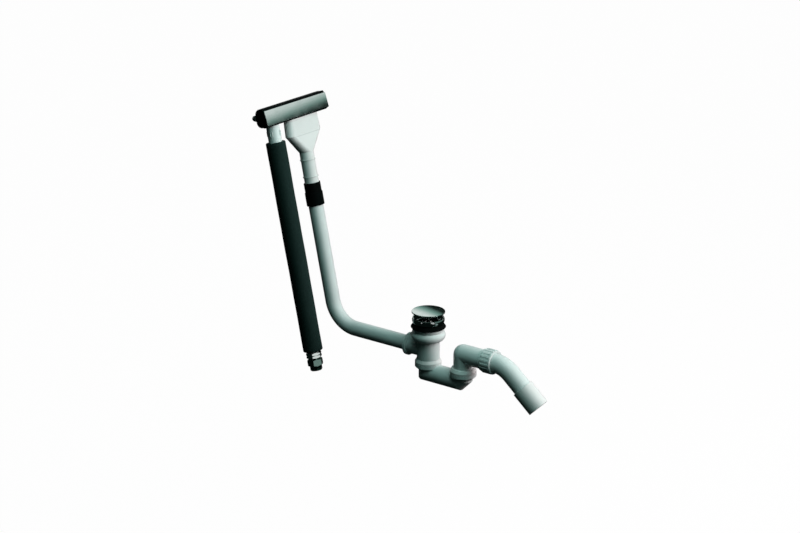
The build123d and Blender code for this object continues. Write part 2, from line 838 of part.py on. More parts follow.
# Overflow funnel: round spigot with two rings, lofted out to a flat box with a neck on top
with BuildPart() as overflow_funnel:
    with BuildSketch(riser.offset(spigot_bottom)):
        Circle(spigot_outer)
    extrude(amount=spigot_length)
    with BuildSketch(section(riser)):
        for ring_place in spigot_rings:
            ring_level = spigot_bottom + ring_place
            ring_profile(
                spigot_outer - spigot_wall / 2,
                spigot_outer + spigot_ring_height,
                ring_level,
                ring_level + spigot_ring_width,
            )
    revolve(axis=axis_of(riser))
    with BuildSketch(riser.offset(funnel_neck)):
        flat_slot(spigot_dia + spigot_wall, spigot_dia)
    with BuildSketch(riser.offset(funnel_shoulder)):
        flat_slot(funnel_width, funnel_depth)
    loft()
    with BuildSketch(riser.offset(funnel_shoulder)):
        flat_slot(funnel_width, funnel_depth)
    with BuildSketch(riser.offset(head_level)):
        flat_slot(funnel_top_width, funnel_depth)
    loft()
    with BuildSketch(riser.offset(head_level)):
        flat_slot(funnel_neck_width, funnel_neck_depth)
    extrude(amount=funnel_neck_height)
    with BuildSketch(riser.offset(spigot_bottom)):
        Circle(spigot_outer - spigot_wall)
    extrude(amount=spigot_length, mode=Mode.SUBTRACT)
    shell_cut = 2 * funnel_wall
    with BuildSketch(riser.offset(funnel_neck)):
        flat_slot(spigot_dia - spigot_wall, spigot_dia - 2 * spigot_wall)
    with BuildSketch(riser.offset(funnel_shoulder)):
        flat_slot(funnel_width - shell_cut, funnel_depth - shell_cut)
    loft(mode=Mode.SUBTRACT)
    with BuildSketch(riser.offset(funnel_shoulder)):
        flat_slot(funnel_width - shell_cut, funnel_depth - shell_cut)
    with BuildSketch(riser.offset(head_level - funnel_wall)):
        flat_slot(funnel_top_width - shell_cut, funnel_depth - shell_cut)
    loft(mode=Mode.SUBTRACT)
    with BuildSketch(riser.offset(head_level - funnel_wall)):
        flat_slot(funnel_neck_width - shell_cut, funnel_neck_depth - shell_cut)
    extrude(amount=funnel_wall + funnel_neck_height, mode=Mode.SUBTRACT)
overflow_funnel.part.label = "overflow_funnel"
export_step(overflow_funnel.part, "parts/overflow_funnel.step")

# Funnel seal: ring round the neck, in the recess of the housing's collar
with BuildPart() as funnel_seal:
    with BuildSketch(riser.offset(head_level)):
        flat_slot(
            funnel_neck_width + 2 * funnel_seal_width,
            funnel_neck_depth + 2 * funnel_seal_width,
        )
        flat_slot(
            funnel_neck_width + 2 * seal_gap,
            funnel_neck_depth + 2 * seal_gap,
            mode=Mode.SUBTRACT,
        )
    extrude(amount=funnel_seal_height)
funnel_seal.part.label = "funnel_seal"
export_step(funnel_seal.part, "parts/funnel_seal.step")

# Head housing: rounded back, open front, two chambers, bolt bosses and the two inlets below
head_side = section(head)
half_length = head_length / 2
bolt_place = half_length - bolt_inset
bolt_level = head_height / 2
bolt_bore = bolt_dia / 2 + running_gap
boss_radius = bolt_bore + boss_wall
stub_place = head_shift - supply_offset
spigot_top = head_level + stub_spigot_length
stub_spigot_radius = stub_spigot_dia / 2
stub_bore = stub_spigot_radius + push_gap
bolt_plane = Plane(head.origin, x_dir=head.y_dir, z_dir=head.x_dir)
bolt_places = [(-bolt_place, bolt_level), (bolt_place, bolt_level)]
housing_depth = housing_back + housing_front
seal_recess = funnel_seal_width + seal_gap
collar_offset = seal_recess + funnel_collar_wall
with BuildPart() as head_housing:
    with BuildSketch(head_side):
        profile(
            (-housing_back, 0),
            (housing_front, 0),
            (housing_front, head_height),
            (-housing_back, head_height),
        )
        fillet(vertices().sort_by(Axis.X)[:2], radius=housing_round)
    extrude(amount=half_length, both=True)
    ends = head_housing.faces().filter_by(Axis.Y)
    front_face = head_housing.faces().sort_by(axis_of(bolt_plane))[-1]
    fillet(ends.edges() - front_face.edges(), radius=housing_end_round)
    with BuildSketch(head_side):
        profile(
            (housing_wall - housing_back, housing_wall),
            (housing_front, housing_wall),
            (housing_front, head_height - housing_wall),
            (housing_wall - housing_back, head_height - housing_wall),
        )
        fillet(vertices().sort_by(Axis.X)[:2], radius=housing_round - housing_wall)
    extrude(amount=half_length - housing_wall, both=True, mode=Mode.SUBTRACT)
    with BuildSketch(head_side.offset(partition_place)):
        profile(
            (housing_wall / 2 - housing_back, housing_round),
            (housing_wall / 2 - housing_back, head_height - housing_round),
            (housing_round - housing_back, head_height - housing_wall / 2),
            (housing_front, head_height - housing_wall / 2),
            (housing_front, housing_wall / 2),
            (housing_round - housing_back, housing_wall / 2),
        )
    extrude(amount=housing_wall)
    with BuildSketch(bolt_plane.offset(-housing_back)):
        with Locations(*bolt_places):
            Circle(boss_radius)
    extrude(amount=housing_depth)
    with BuildSketch(bolt_plane.offset(-housing_back)):
        with Locations(*bolt_places):
            Circle(bolt_bore)
    extrude(amount=housing_depth, mode=Mode.SUBTRACT)
    with BuildSketch(supply.offset(head_level)):
        Circle(stub_bore + inlet_boss_wall)
    extrude(amount=stub_spigot_length)
    with BuildSketch(supply.offset(head_level)):
        Circle(stub_bore)
    extrude(amount=stub_spigot_length, mode=Mode.SUBTRACT)
    with BuildSketch(riser.offset(head_level)):
        flat_slot(funnel_neck_width + 2 * collar_offset, funnel_neck_depth + 2 * collar_offset)
    extrude(amount=funnel_neck_height)
    with BuildSketch(riser.offset(head_level)):
        flat_slot(funnel_neck_width + 2 * push_gap, funnel_neck_depth + 2 * push_gap)
    extrude(amount=funnel_neck_height, mode=Mode.SUBTRACT)
    with BuildSketch(riser.offset(head_level)):
        flat_slot(funnel_neck_width + 2 * seal_recess, funnel_neck_depth + 2 * seal_recess)
    extrude(amount=funnel_seal_height, mode=Mode.SUBTRACT)
head_housing.part.label = "head_housing"
export_step(head_housing.part, "parts/head_housing.step")

# Wall gasket: rubber frame between the housing and the bath wall
wall_face = housing_front + gasket_thickness
with BuildPart() as wall_gasket:
    with BuildSketch(bolt_plane.offset(housing_front)):
        with Locations((0, bolt_level)):
            Rectangle(head_length, head_height)
            Rectangle(
                head_length - 2 * gasket_end,
                head_height - 2 * gasket_edge,
                mode=Mode.SUBTRACT,
            )
        with Locations(*bolt_places):
            Circle(bolt_bore, mode=Mode.SUBTRACT)
    extrude(amount=gasket_thickness)
wall_gasket.part.label = "wall_gasket"
export_step(wall_gasket.part, "parts/wall_gasket.step")

# Cover plate: flat bar on a face that leans out at its lower edge
tilt = radians(plate_tilt)
plate_back = wall_face + carrier_depth
plate_plane = Plane(
    head.from_local_coords(Vector(plate_back, 0, bolt_level)),
    x_dir=head.y_dir,
    z_dir=head.x_dir * cos(tilt) + head.z_dir * sin(tilt),
)
with BuildPart() as cover_plate:
    with BuildSketch(plate_plane):
        Rectangle(head_length, plate_height)
    extrude(amount=plate_thickness)
    front_face = cover_plate.faces().sort_by(axis_of(plate_plane))[-1]
    chamfer(front_face.edges(), length=plate_chamfer)
cover_plate.part.label = "cover_plate"
export_step(cover_plate.part, "parts/cover_plate.step")

# Cover carrier: wedge behind the plate, open below so that water passes behind the bar
plate_rise = plate_height / 2 * cos(tilt)
plate_swing = plate_height / 2 * sin(tilt)
carrier_front = wall_face + carrier_web
carrier_nose = plate_back + plate_swing
carrier_roof = bolt_level + plate_rise - carrier_wall
end_wall_place = half_length - carrier_wall / 2
with BuildPart() as cover_carrier:
    with BuildSketch(head_side):
        profile(
            (wall_face, 0),
            (carrier_nose, bolt_level - plate_rise),
            (plate_back - plate_swing, bolt_level + plate_rise),
            (wall_face, head_height),
        )
    extrude(amount=half_length, both=True)
    for start, end in pairwise((-end_wall_place, *carrier_ribs, end_wall_place)):
        with BuildSketch(head_side.offset(carrier_wall / 2 - end)):
            ring_profile(carrier_front, carrier_nose, 0, carrier_roof)
        extrude(amount=end - start - carrier_wall, mode=Mode.SUBTRACT)
    with BuildSketch(bolt_plane.offset(wall_face)):
        with Locations((head_shift, bolt_level)):
            Rectangle(overflow_window, window_height)
        with Locations((stub_place, bolt_level)):
            Rectangle(filler_window, window_height)
        with Locations(*bolt_places):
            Circle(bolt_bore)
    extrude(amount=carrier_web, mode=Mode.SUBTRACT)
cover_carrier.part.label = "cover_carrier"
export_step(cover_carrier.part, "parts/cover_carrier.step")

# Clamp bolts, washers and cap nuts that pull the carrier and the housing on to the wall
washer_back = housing_back + washer_thickness
shank_length = carrier_front + washer_back + bolt_engagement
with BuildPart() as clamp_bolts:
    with BuildSketch(bolt_plane.offset(carrier_front)):
        with Locations(*bolt_places):
            Circle(bolt_head_dia / 2)
    extrude(amount=bolt_head_height)
    with BuildSketch(bolt_plane.offset(carrier_front)):
        with Locations(*bolt_places):
            Circle(bolt_dia / 2)
    extrude(amount=-shank_length)
clamp_bolts.part.label = "clamp_bolts"
export_step(clamp_bolts.part, "parts/clamp_bolts.step")

with BuildPart() as clamp_washers:
    with BuildSketch(bolt_plane.offset(-housing_back)):
        with Locations(*bolt_places):
            Circle(washer_dia / 2)
            Circle(bolt_bore, mode=Mode.SUBTRACT)
    extrude(amount=-washer_thickness)
clamp_washers.part.label = "clamp_washers"
export_step(clamp_washers.part, "parts/clamp_washers.step")

dome_radius = cap_nut_flats / 2 - running_gap
with BuildPart() as clamp_nuts:
    with BuildSketch(bolt_plane.offset(-washer_back)):
        with Locations(*bolt_places):
            RegularPolygon(cap_nut_flats / 2, 6, major_radius=False)
    extrude(amount=-cap_nut_hex)
    dome_plane = bolt_plane.offset(dome_radius - washer_back - cap_nut_height)
    with BuildSketch(dome_plane):
        with Locations(*bolt_places):
            Circle(dome_radius)
    extrude(amount=cap_nut_height - dome_radius - cap_nut_hex)
    with Locations(*[dome_plane.from_local_coords(Vector(*place)) for place in bolt_places]):
        Sphere(dome_radius)
    with BuildSketch(bolt_plane.offset(-washer_back)):
        with Locations(*bolt_places):
            Circle(bolt_dia / 2 + seal_gap)
    extrude(amount=-bolt_engagement - running_gap, mode=Mode.SUBTRACT)
clamp_nuts.part.label = "clamp_nuts"
export_step(clamp_nuts.part, "parts/clamp_nuts.step")

# Inlet stub: spigot with an O-ring groove above, socket for the tube below, oval lugs outside
supply_radius = supply_dia / 2
stub_radius = stub_dia / 2
stub_socket = supply_radius + seal_gap
tube_stop = head_level - stub_crown
groove_level = head_level + oring_place
groove_half = oring_section / 2 + seal_gap
oring_inner = stub_spigot_radius - oring_depth
with BuildPart() as inlet_stub:
    with BuildSketch(section(supply)):
        profile(
            (stub_socket, stub_bottom),
            (stub_radius, stub_bottom),
            (stub_radius, head_level),
            (stub_spigot_radius, head_level),
            (stub_spigot_radius, groove_level - groove_half),
            (oring_inner, groove_level - groove_half),
            (oring_inner, groove_level + groove_half),
            (stub_spigot_radius, groove_level + groove_half),
            (stub_spigot_radius, spigot_top),
            (oring_inner - stub_spigot_wall, spigot_top),
            (oring_inner - stub_spigot_wall, tube_stop),
            (stub_socket, tube_stop),
        )
    revolve(axis=axis_of(supply))
    lug_level = foam_top + stub_show / 2
    lug_root = (stub_socket + stub_radius) / 2
    for lug in range(stub_lugs):
        lug_angle = radians(lug_turn + lug * 360 / stub_lugs)
        outward = supply.x_dir * cos(lug_angle) + supply.y_dir * sin(lug_angle)
        lug_origin = supply.origin + supply.z_dir * lug_level + outward * lug_root
        with BuildSketch(Plane(lug_origin, x_dir=supply.z_dir, z_dir=outward)):
            SlotOverall(lug_length, lug_width)
            SlotOverall(lug_length - 2 * lug_rim, lug_width - 2 * lug_rim, mode=Mode.SUBTRACT)
        extrude(amount=stub_radius + lug_height - lug_root)
inlet_stub.part.label = "inlet_stub"
export_step(inlet_stub.part, "parts/inlet_stub.step")

with BuildPart() as inlet_seal:
    with BuildSketch(section(supply)):
        with Locations(((oring_inner + stub_bore) / 2, groove_level)):
            Rectangle(stub_bore - oring_inner - seal_gap, oring_section)
    revolve(axis=axis_of(supply))
inlet_seal.part.label = "inlet_seal"
export_step(inlet_seal.part, "parts/inlet_seal.step")

# Supply tube and its foam sleeve, which widens over the lower end of the stub
with BuildPart() as supply_tube:
    with BuildSketch(section(supply)):
        ring_profile(supply_radius - supply_wall, supply_radius, supply_bottom, tube_stop - running_gap)
    revolve(axis=axis_of(supply))
supply_tube.part.label = "supply_tube"
export_step(supply_tube.part, "parts/supply_tube.step")

with BuildPart() as insulation_sleeve:
    with BuildSketch(section(supply)):
        profile(
            (supply_radius + seal_gap, foam_bottom),
            (foam_dia / 2, foam_bottom),
            (foam_dia / 2, foam_top),
            (stub_radius + seal_gap, foam_top),
            (stub_radius + seal_gap, stub_bottom - running_gap),
            (supply_radius + seal_gap, stub_bottom - running_gap),
        )
    revolve(axis=axis_of(supply))
insulation_sleeve.part.label = "insulation_sleeve"
export_step(insulation_sleeve.part, "parts/insulation_sleeve.step")

# Compression joint: nut, ring and the hexagon fitting with its male thread
neck_radius = fitting_neck_dia / 2
recess_top = supply_nut_top - supply_nut_lid
neck_top = recess_top - compression_height
with BuildPart() as supply_nut:
    with BuildSketch(supply.offset(supply_nut_bottom)):
        RegularPolygon(hex_flats / 2, 6, major_radius=False)
    extrude(amount=supply_nut_height)
    with BuildSketch(supply.offset(supply_nut_bottom)):
        Circle(supply_radius + push_gap)
    extrude(amount=supply_nut_height, mode=Mode.SUBTRACT)
    with BuildSketch(supply.offset(supply_nut_bottom)):
        Circle(neck_radius + running_gap)
    extrude(amount=supply_nut_height - supply_nut_lid, mode=Mode.SUBTRACT)
supply_nut.part.label = "supply_nut"
export_step(supply_nut.part, "parts/supply_nut.step")

with BuildPart() as compression_ring:
    with BuildSketch(section(supply)):
        ring_profile(supply_radius + seal_gap, neck_radius + push_gap, neck_top, recess_top)
    revolve(axis=axis_of(supply))
compression_ring.part.label = "compression_ring"
export_step(compression_ring.part, "parts/compression_ring.step")

thread_bottom = fitting_hex_bottom - fitting_thread_length
inlet_radius = fitting_thread_dia / 2
with BuildPart() as inlet_fitting:
    with BuildSketch(supply.offset(fitting_hex_bottom)):
        RegularPolygon(hex_flats / 2, 6, major_radius=False)
    extrude(amount=fitting_hex_height)
    with BuildSketch(section(supply)):
        profile(
            (0, neck_top),
            (neck_radius, neck_top),
            (neck_radius, fitting_hex_bottom),
            (inlet_radius, fitting_hex_bottom),
            (inlet_radius, thread_bottom + fitting_chamfer),
            (inlet_radius - fitting_chamfer, thread_bottom),
            (0, thread_bottom),
        )
    revolve(axis=axis_of(supply))
    with BuildSketch(section(supply)):
        profile(
            (0, neck_top),
            (supply_radius + push_gap, neck_top),
            (supply_radius + push_gap, supply_bottom - running_gap),
            (fitting_bore / 2, supply_bottom - running_gap),
            (fitting_bore / 2, thread_bottom),
            (0, thread_bottom),
        )
    revolve(axis=axis_of(supply), mode=Mode.SUBTRACT)
inlet_fitting.part.label = "inlet_fitting"
export_step(inlet_fitting.part, "parts/inlet_fitting.step")
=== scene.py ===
"""Looks of a bath waste, trap, overflow and wall filler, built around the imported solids."""

import logging
from collections.abc import Callable, Sequence
from dataclasses import dataclass
from enum import Enum
from math import atan2, cos, pi, radians, sin, tan

import bmesh
import bpy
from mathutils import Matrix, Vector


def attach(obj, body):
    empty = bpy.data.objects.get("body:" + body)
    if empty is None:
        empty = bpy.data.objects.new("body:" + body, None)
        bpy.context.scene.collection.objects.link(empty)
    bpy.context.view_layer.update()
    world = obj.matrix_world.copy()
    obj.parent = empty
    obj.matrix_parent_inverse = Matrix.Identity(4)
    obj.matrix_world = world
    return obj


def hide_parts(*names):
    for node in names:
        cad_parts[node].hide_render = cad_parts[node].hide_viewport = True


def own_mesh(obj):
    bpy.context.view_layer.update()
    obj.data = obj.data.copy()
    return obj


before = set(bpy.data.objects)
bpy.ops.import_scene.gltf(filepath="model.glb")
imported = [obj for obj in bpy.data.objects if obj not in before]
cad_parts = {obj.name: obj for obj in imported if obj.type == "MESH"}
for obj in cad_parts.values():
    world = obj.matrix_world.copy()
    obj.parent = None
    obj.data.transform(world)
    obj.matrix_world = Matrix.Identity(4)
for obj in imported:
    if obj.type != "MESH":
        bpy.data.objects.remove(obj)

MM = 0.001
WALL_LEAN = 12.0
LOG = logging.getLogger("bath_waste")

# A rounded corner's chords, the longest share of a side that it takes, and the places
# just past a rounding of the points that keep the surface beside it flat
ROUND_STEPS = 4
LONGEST_SHARE = 0.46
CORNER_GUARD = 1.06
END_GUARD = 1.08

# Faces round a turned piece, and how its mesh is closed, merged and shaded
SEGMENTS = 96
LID_SEGMENTS = 128
BOLT_SEGMENTS = 48
POLE_RADIUS = 1e-6
MERGE_DISTANCE = 1e-7
SMOOTH_ANGLE = radians(32)

# A hexagon's end face stands inside its flats, and a cone cuts its corners
HEXAGON_INSET = 0.4
HEXAGON_CONE = radians(30)

# Steps of the swept pieces, which are a helix's turn, a pipe's bend and its girth,
# and the gap in metres that closes a pipe's seam
TURN_STEPS = 48
BEND_STEPS = 24
PIPE_SIDES = 80
PIPE_SEAM = 1e-6

Point = tuple[float, float, float]
Span = tuple[float, float]
Colour = tuple[float, float, float, float]


class Body(Enum):
    """The rigid bodies that a piece can ride on."""

    BASE = "base"
    PLUG = "plug"
    OUTLET = "outlet"


class Slot(Enum):
    """The record's material slots; each piece is passed one, which it does not use."""

    CHROME_LID = "chrome_lid"
    CHROME_FLANGE = "chrome_flange"
    CHROME_BAR = "chrome_bar"
    PLATED_BRASS = "plated_brass"
    STEEL = "steel"
    GREY_PLASTIC = "grey_plastic"
    WHITE_PLASTIC = "white_plastic"
    BLACK_PLASTIC = "black_plastic"
    BLACK_RUBBER = "black_rubber"
    BLACK_FOAM = "black_foam"


class Signal:
    """A node socket that Python's operators act on, each adding one Math node."""

    def __init__(self, wiring: "Wiring", socket: bpy.types.NodeSocket) -> None:
        """Wrap a socket of the tree that the wiring belongs to."""
        self.wiring = wiring
        self.socket = socket

    def _math(self, operation: str, first: "Signal | float", second: "Signal | float") -> "Signal":
        """Return a Math node's result for two terms."""
        made = self.wiring.node("ShaderNodeMath", {"operation": operation}, {0: first, 1: second})
        return Signal(self.wiring, made.outputs[0])

    def __add__(self, other: "Signal | float") -> "Signal":
        """Return self + other."""
        return self._math("ADD", self, other)

    __radd__ = __add__

    def __sub__(self, other: "Signal | float") -> "Signal":
        """Return self - other."""
        return self._math("SUBTRACT", self, other)

    def __rsub__(self, other: float) -> "Signal":
        """Return other - self."""
        return self._math("SUBTRACT", other, self)

    def __mul__(self, other: "Signal | float") -> "Signal":
        """Return self * other."""
        return self._math("MULTIPLY", self, other)

    __rmul__ = __mul__


class Wiring:
    """Adds nodes to one node tree."""

    def __init__(self, tree: bpy.types.NodeTree) -> None:
        """Start on a tree."""
        self.tree = tree

    def node(
        self,
        kind: str,
        settings: dict[str, object] | None = None,
        inputs: dict[str | int, object] | None = None,
    ) -> bpy.types.Node:
        """Add a node.

        Args:
            kind: The node's type.
            settings: Its properties, set first; "stops" fills a colour ramp.
            inputs: Values, signals or lists of signals for its input sockets.

        Returns:
            The new node.
        """
        made = self.tree.nodes.new(kind)
        for name, value in (settings or {}).items():
            if name == "stops":
                self._fill_ramp(made.color_ramp, value)
            else:
                setattr(made, name, value)
        for name, value in (inputs or {}).items():
            socket = made.inputs[name]
            if isinstance(value, Signal):
                self.tree.links.new(value.socket, socket)
            elif isinstance(value, list):
                for part in value:
                    self.tree.links.new(part.socket, socket)
            else:
                socket.default_value = value
        return made

    def signal(
        self,
        kind: str,
        settings: dict[str, object] | None = None,
        inputs: dict[str | int, object] | None = None,
        output: str | int = 0,
    ) -> Signal:
        """Add a node and return one of its outputs as a signal."""
        return Signal(self, self.node(kind, settings, inputs).outputs[output])

    @staticmethod
    def _fill_ramp(ramp: bpy.types.ColorRamp, stops: Sequence[tuple[float, Colour]]) -> None:
        """Replace a colour ramp's stops.

        Args:
            ramp: The colour ramp.
            stops: Its new positions and colours, in order.
        """
        while len(ramp.elements) > 1:
            ramp.elements.remove(ramp.elements[-1])
        for index, (position, colour) in enumerate(stops):
            element = ramp.elements[0] if index == 0 else ramp.elements.new(position)
            element.position = position
            element.color = colour


def blank(owner: bpy.types.Material | bpy.types.World) -> Wiring:
    """Return the wiring of a material's or a world's node tree, emptied.

    Args:
        owner: The material or the world.

    Returns:
        The wiring of its tree.
    """
    owner.use_nodes = True
    owner.node_tree.nodes.clear()
    return Wiring(owner.node_tree)


@dataclass(frozen=True)
class Layer:
    """A layer of noise: its scale per metre, its detail, and the span of values that shows."""

    scale: float
    detail: float
    span: Span = (0.0, 1.0)
    roughness: float = 0.55


@dataclass(frozen=True)
class Finish:
    """A surface finish with a name of its own; each kind wires its own nodes."""

    name: str

    def material(self) -> bpy.types.Material:
        """Return the finish as a material, made on its first use.

        Returns:
            The material, one for each name.
        """
        found = bpy.data.materials.get(self.name)
        if found is None:
            found = bpy.data.materials.new(self.name)
            self.wire(blank(found))
        return found

    def wire(self, wiring: Wiring) -> None:
        """Add the finish's nodes."""
        raise NotImplementedError

    @staticmethod
    def coordinates(wiring: Wiring, stretch: Point = (1.0, 1.0, 1.0), turn: float = 0.0) -> Signal:
        """Return Object coordinates, stretched by axis and turned about Y in degrees.

        Args:
            wiring: The wiring of the material's tree.
            stretch: How far the pattern runs in a metre of each axis.
            turn: The turn in degrees.

        Returns:
            The coordinates.
        """
        place = wiring.signal("ShaderNodeTexCoord", output="Object")
        if stretch == (1.0, 1.0, 1.0):
            return place
        return wiring.signal(
            "ShaderNodeMapping",
            inputs={"Vector": place, "Rotation": (0.0, radians(turn), 0.0), "Scale": stretch},
        )

    @staticmethod
    def noise(wiring: Wiring, place: Signal, layer: Layer) -> Signal:
        """Return a layer's noise, from 0 to 1.

        Args:
            wiring: The wiring of the material's tree.
            place: The coordinates.
            layer: The layer of noise.

        Returns:
            The noise's value.
        """
        inputs = {
            "Vector": place,
            "Scale": layer.scale,
            "Detail": layer.detail,
            "Roughness": layer.roughness,
        }
        return wiring.signal("ShaderNodeTexNoise", inputs=inputs)

    @staticmethod
    def band(wiring: Wiring, value: Signal, low: float, high: float) -> Signal:
        """Return value mapped from low..high to 0..1 and clipped there."""
        inputs = {"Value": value, "From Min": low, "From Max": high}
        return wiring.signal("ShaderNodeMapRange", {"clamp": True}, inputs)

    @staticmethod
    def mix(wiring: Wiring, share: Signal, first: Colour | Signal, second: Colour | Signal) -> Signal:
        """Return a colour between two, by share."""
        inputs = {0: share, 6: first, 7: second}
        return wiring.signal("ShaderNodeMix", {"data_type": "RGBA"}, inputs, output=2)

    @staticmethod
    def bump(wiring: Wiring, height: Signal, strength: float, distance: float) -> Signal:
        """Return a normal lifted by a height, whose full depth is distance in metres."""
        inputs = {"Height": height, "Strength": strength, "Distance": distance}
        return wiring.signal("ShaderNodeBump", inputs=inputs)

    @staticmethod
    def close(wiring: Wiring, inputs: dict[str, object]) -> None:
        """End the tree in one surface shader."""
        surface = wiring.signal("ShaderNodeBsdfPrincipled", inputs=inputs)
        wiring.node("ShaderNodeOutputMaterial", inputs={"Surface": surface})


@dataclass(frozen=True)
class MouldedPlastic(Finish):
    """Injection-moulded plastic: flow clouds, fine spark texture and light handling scuffs."""

    base: Colour
    shade: Colour
    scuff: Colour
    roughness: float = 0.36
    specular: float = 0.5
    flow: Layer = Layer(19.0, 4.0, (0.35, 0.7))
    grain: Layer = Layer(1900.0, 2.0)
    specks: Layer = Layer(420.0, 5.0, (0.66, 0.74))
    scuff_share: float = 0.35
    cloud_dulling: float = 0.06
    grain_dulling: float = 0.08
    scuff_dulling: float = 0.1
    speck_relief: float = 0.5
    relief: Span = (0.12, 0.00012)

    def wire(self, wiring: Wiring) -> None:
        """Add the plastic's nodes.

        Args:
            wiring: The wiring of the material's tree.
        """
        place = self.coordinates(wiring)
        grain = self.noise(wiring, place, self.grain)
        speck = self.noise(wiring, place, self.specks)
        cloud = self.band(wiring, self.noise(wiring, place, self.flow), *self.flow.span)
        worn = self.band(wiring, speck, *self.specks.span)
        colour = self.mix(wiring, cloud, self.base, self.shade)
        colour = self.mix(wiring, worn * self.scuff_share, colour, self.scuff)
        uneven = cloud * self.cloud_dulling + grain * self.grain_dulling - self.grain_dulling / 2
        self.close(
            wiring,
            {
                "Base Color": self.line(wiring, place, colour),
                "Roughness": self.roughness + uneven + worn * self.scuff_dulling,
                "Specular IOR Level": self.specular,
                "Normal": self.bump(wiring, grain + speck * self.speck_relief, *self.relief),
            },
        )

    def line(self, wiring: Wiring, place: Signal, colour: Signal) -> Signal:
        """Return the colour with its painted crease shade lines, which a plain moulding lacks."""
        return colour


@dataclass(frozen=True)
class CreaseShadedPlastic(MouldedPlastic):
    """Moulded plastic with painted shade lines, the shade in the creases at the funnel's rings,
    across an axis that leans about Y; its sizes in metres.
    """

    lean: float = 0.0
    levels: tuple[float, ...] = ()
    width: float = 0.001
    crease_shade: Colour = (0.4, 0.4, 0.39, 1)
    crease_shade_share: float = 0.7

    def line(self, wiring: Wiring, place: Signal, colour: Signal) -> Signal:
        """Return the colour with painted shade lines drawn at their levels along the axis.

        Args:
            wiring: The wiring of the material's tree.
            place: The Object coordinates.
            colour: The colour without the painted shade lines.

        Returns:
            The colour with the painted shade lines.
        """
        turn = (0.0, radians(self.lean), 0.0)
        turned = wiring.signal("ShaderNodeMapping", inputs={"Vector": place, "Rotation": turn})
        height = wiring.signal("ShaderNodeSeparateXYZ", inputs={"Vector": turned}, output="Z")
        # Each level gets a thin darker band: painted shade in the crease at one of the funnel's
        # rings.
        for level in self.levels:
            away = wiring.signal("ShaderNodeMath", {"operation": "ABSOLUTE"}, {0: height - level})
            share = self.band(wiring, away, self.width, 0.0) * self.crease_shade_share
            colour = self.mix(wiring, share, colour, self.crease_shade)
        return colour


@dataclass(frozen=True)
class PolishedChrome(Finish):
    """Polished plating: faint water marks and smears over a mirror."""

    base: Colour
    mark: Colour
    roughness: float
    smears: Layer = Layer(55.0, 5.0, (0.45, 0.75))
    spots: Layer = Layer(520.0, 3.0, (0.68, 0.76))
    mark_share: float = 0.4
    smear_dulling: float = 0.05
    spot_dulling: float = 0.12
    relief: Span = (0.02, 0.0002)

    def wire(self, wiring: Wiring) -> None:
        """Add the plating's nodes.

        Args:
            wiring: The wiring of the material's tree.
        """
        place = self.coordinates(wiring)
        smear = self.band(wiring, self.noise(wiring, place, self.smears), *self.smears.span)
        spots = self.band(wiring, self.noise(wiring, place, self.spots), *self.spots.span)
        marked = smear * self.mark_share + spots * self.mark_share
        self.close(
            wiring,
            {
                "Base Color": self.mix(wiring, marked, self.base, self.mark),
                "Metallic": 1.0,
                "Roughness": self.roughness + smear * self.smear_dulling + spots * self.spot_dulling,
                "Normal": self.bump(wiring, smear, *self.relief),
            },
        )


@dataclass(frozen=True)
class BrushedMetal(Finish):
    """Metal with fine lines along one axis, as from a belt or a lathe."""

    base: Colour
    line: Colour
    stretch: Point
    turn: float
    roughness: float
    lines: Layer = Layer(1.0, 6.0, (0.35, 0.7))
    smears: Layer = Layer(40.0, 4.0, (0.4, 0.75))
    line_dulling: float = 0.12
    smear_dulling: float = 0.05
    relief: Span = (0.06, 0.0001)

    def wire(self, wiring: Wiring) -> None:
        """Add the metal's nodes.

        Args:
            wiring: The wiring of the material's tree.
        """
        place = self.coordinates(wiring)
        lines = self.noise(wiring, self.coordinates(wiring, self.stretch, self.turn), self.lines)
        shown = self.band(wiring, lines, *self.lines.span)
        smear = self.band(wiring, self.noise(wiring, place, self.smears), *self.smears.span)
        uneven = lines * self.line_dulling + smear * self.smear_dulling - self.line_dulling / 2
        self.close(
            wiring,
            {
                "Base Color": self.mix(wiring, shown, self.base, self.line),
                "Metallic": 1.0,
                "Roughness": self.roughness + uneven,
                "Normal": self.bump(wiring, lines, *self.relief),
            },
        )


@dataclass(frozen=True)
class SoftRubber(Finish):
    """Black rubber: a dull skin with moulding dust in its pores."""

    base: Colour
    dust: Colour
    roughness: float = 0.55
    specular: float = 0.03
    pores: Layer = Layer(1300.0, 3.0)
    film: Layer = Layer(70.0, 5.0, (0.5, 0.8))
    film_share: float = 0.5
    pore_dulling: float = 0.12
    film_dulling: float = 0.1
    relief: Span = (0.18, 0.0002)

    def wire(self, wiring: Wiring) -> None:
        """Add the rubber's nodes.

        Args:
            wiring: The wiring of the material's tree.
        """
        place = self.coordinates(wiring)
        pores = self.noise(wiring, place, self.pores)
        film = self.band(wiring, self.noise(wiring, place, self.film), *self.film.span)
        uneven = pores * self.pore_dulling + film * self.film_dulling - self.pore_dulling / 2
        self.close(
            wiring,
            {
                "Base Color": self.mix(wiring, film * self.film_share, self.base, self.dust),
                "Roughness": self.roughness + uneven,
                "Specular IOR Level": self.specular,
                "Normal": self.bump(wiring, pores, *self.relief),
            },
        )


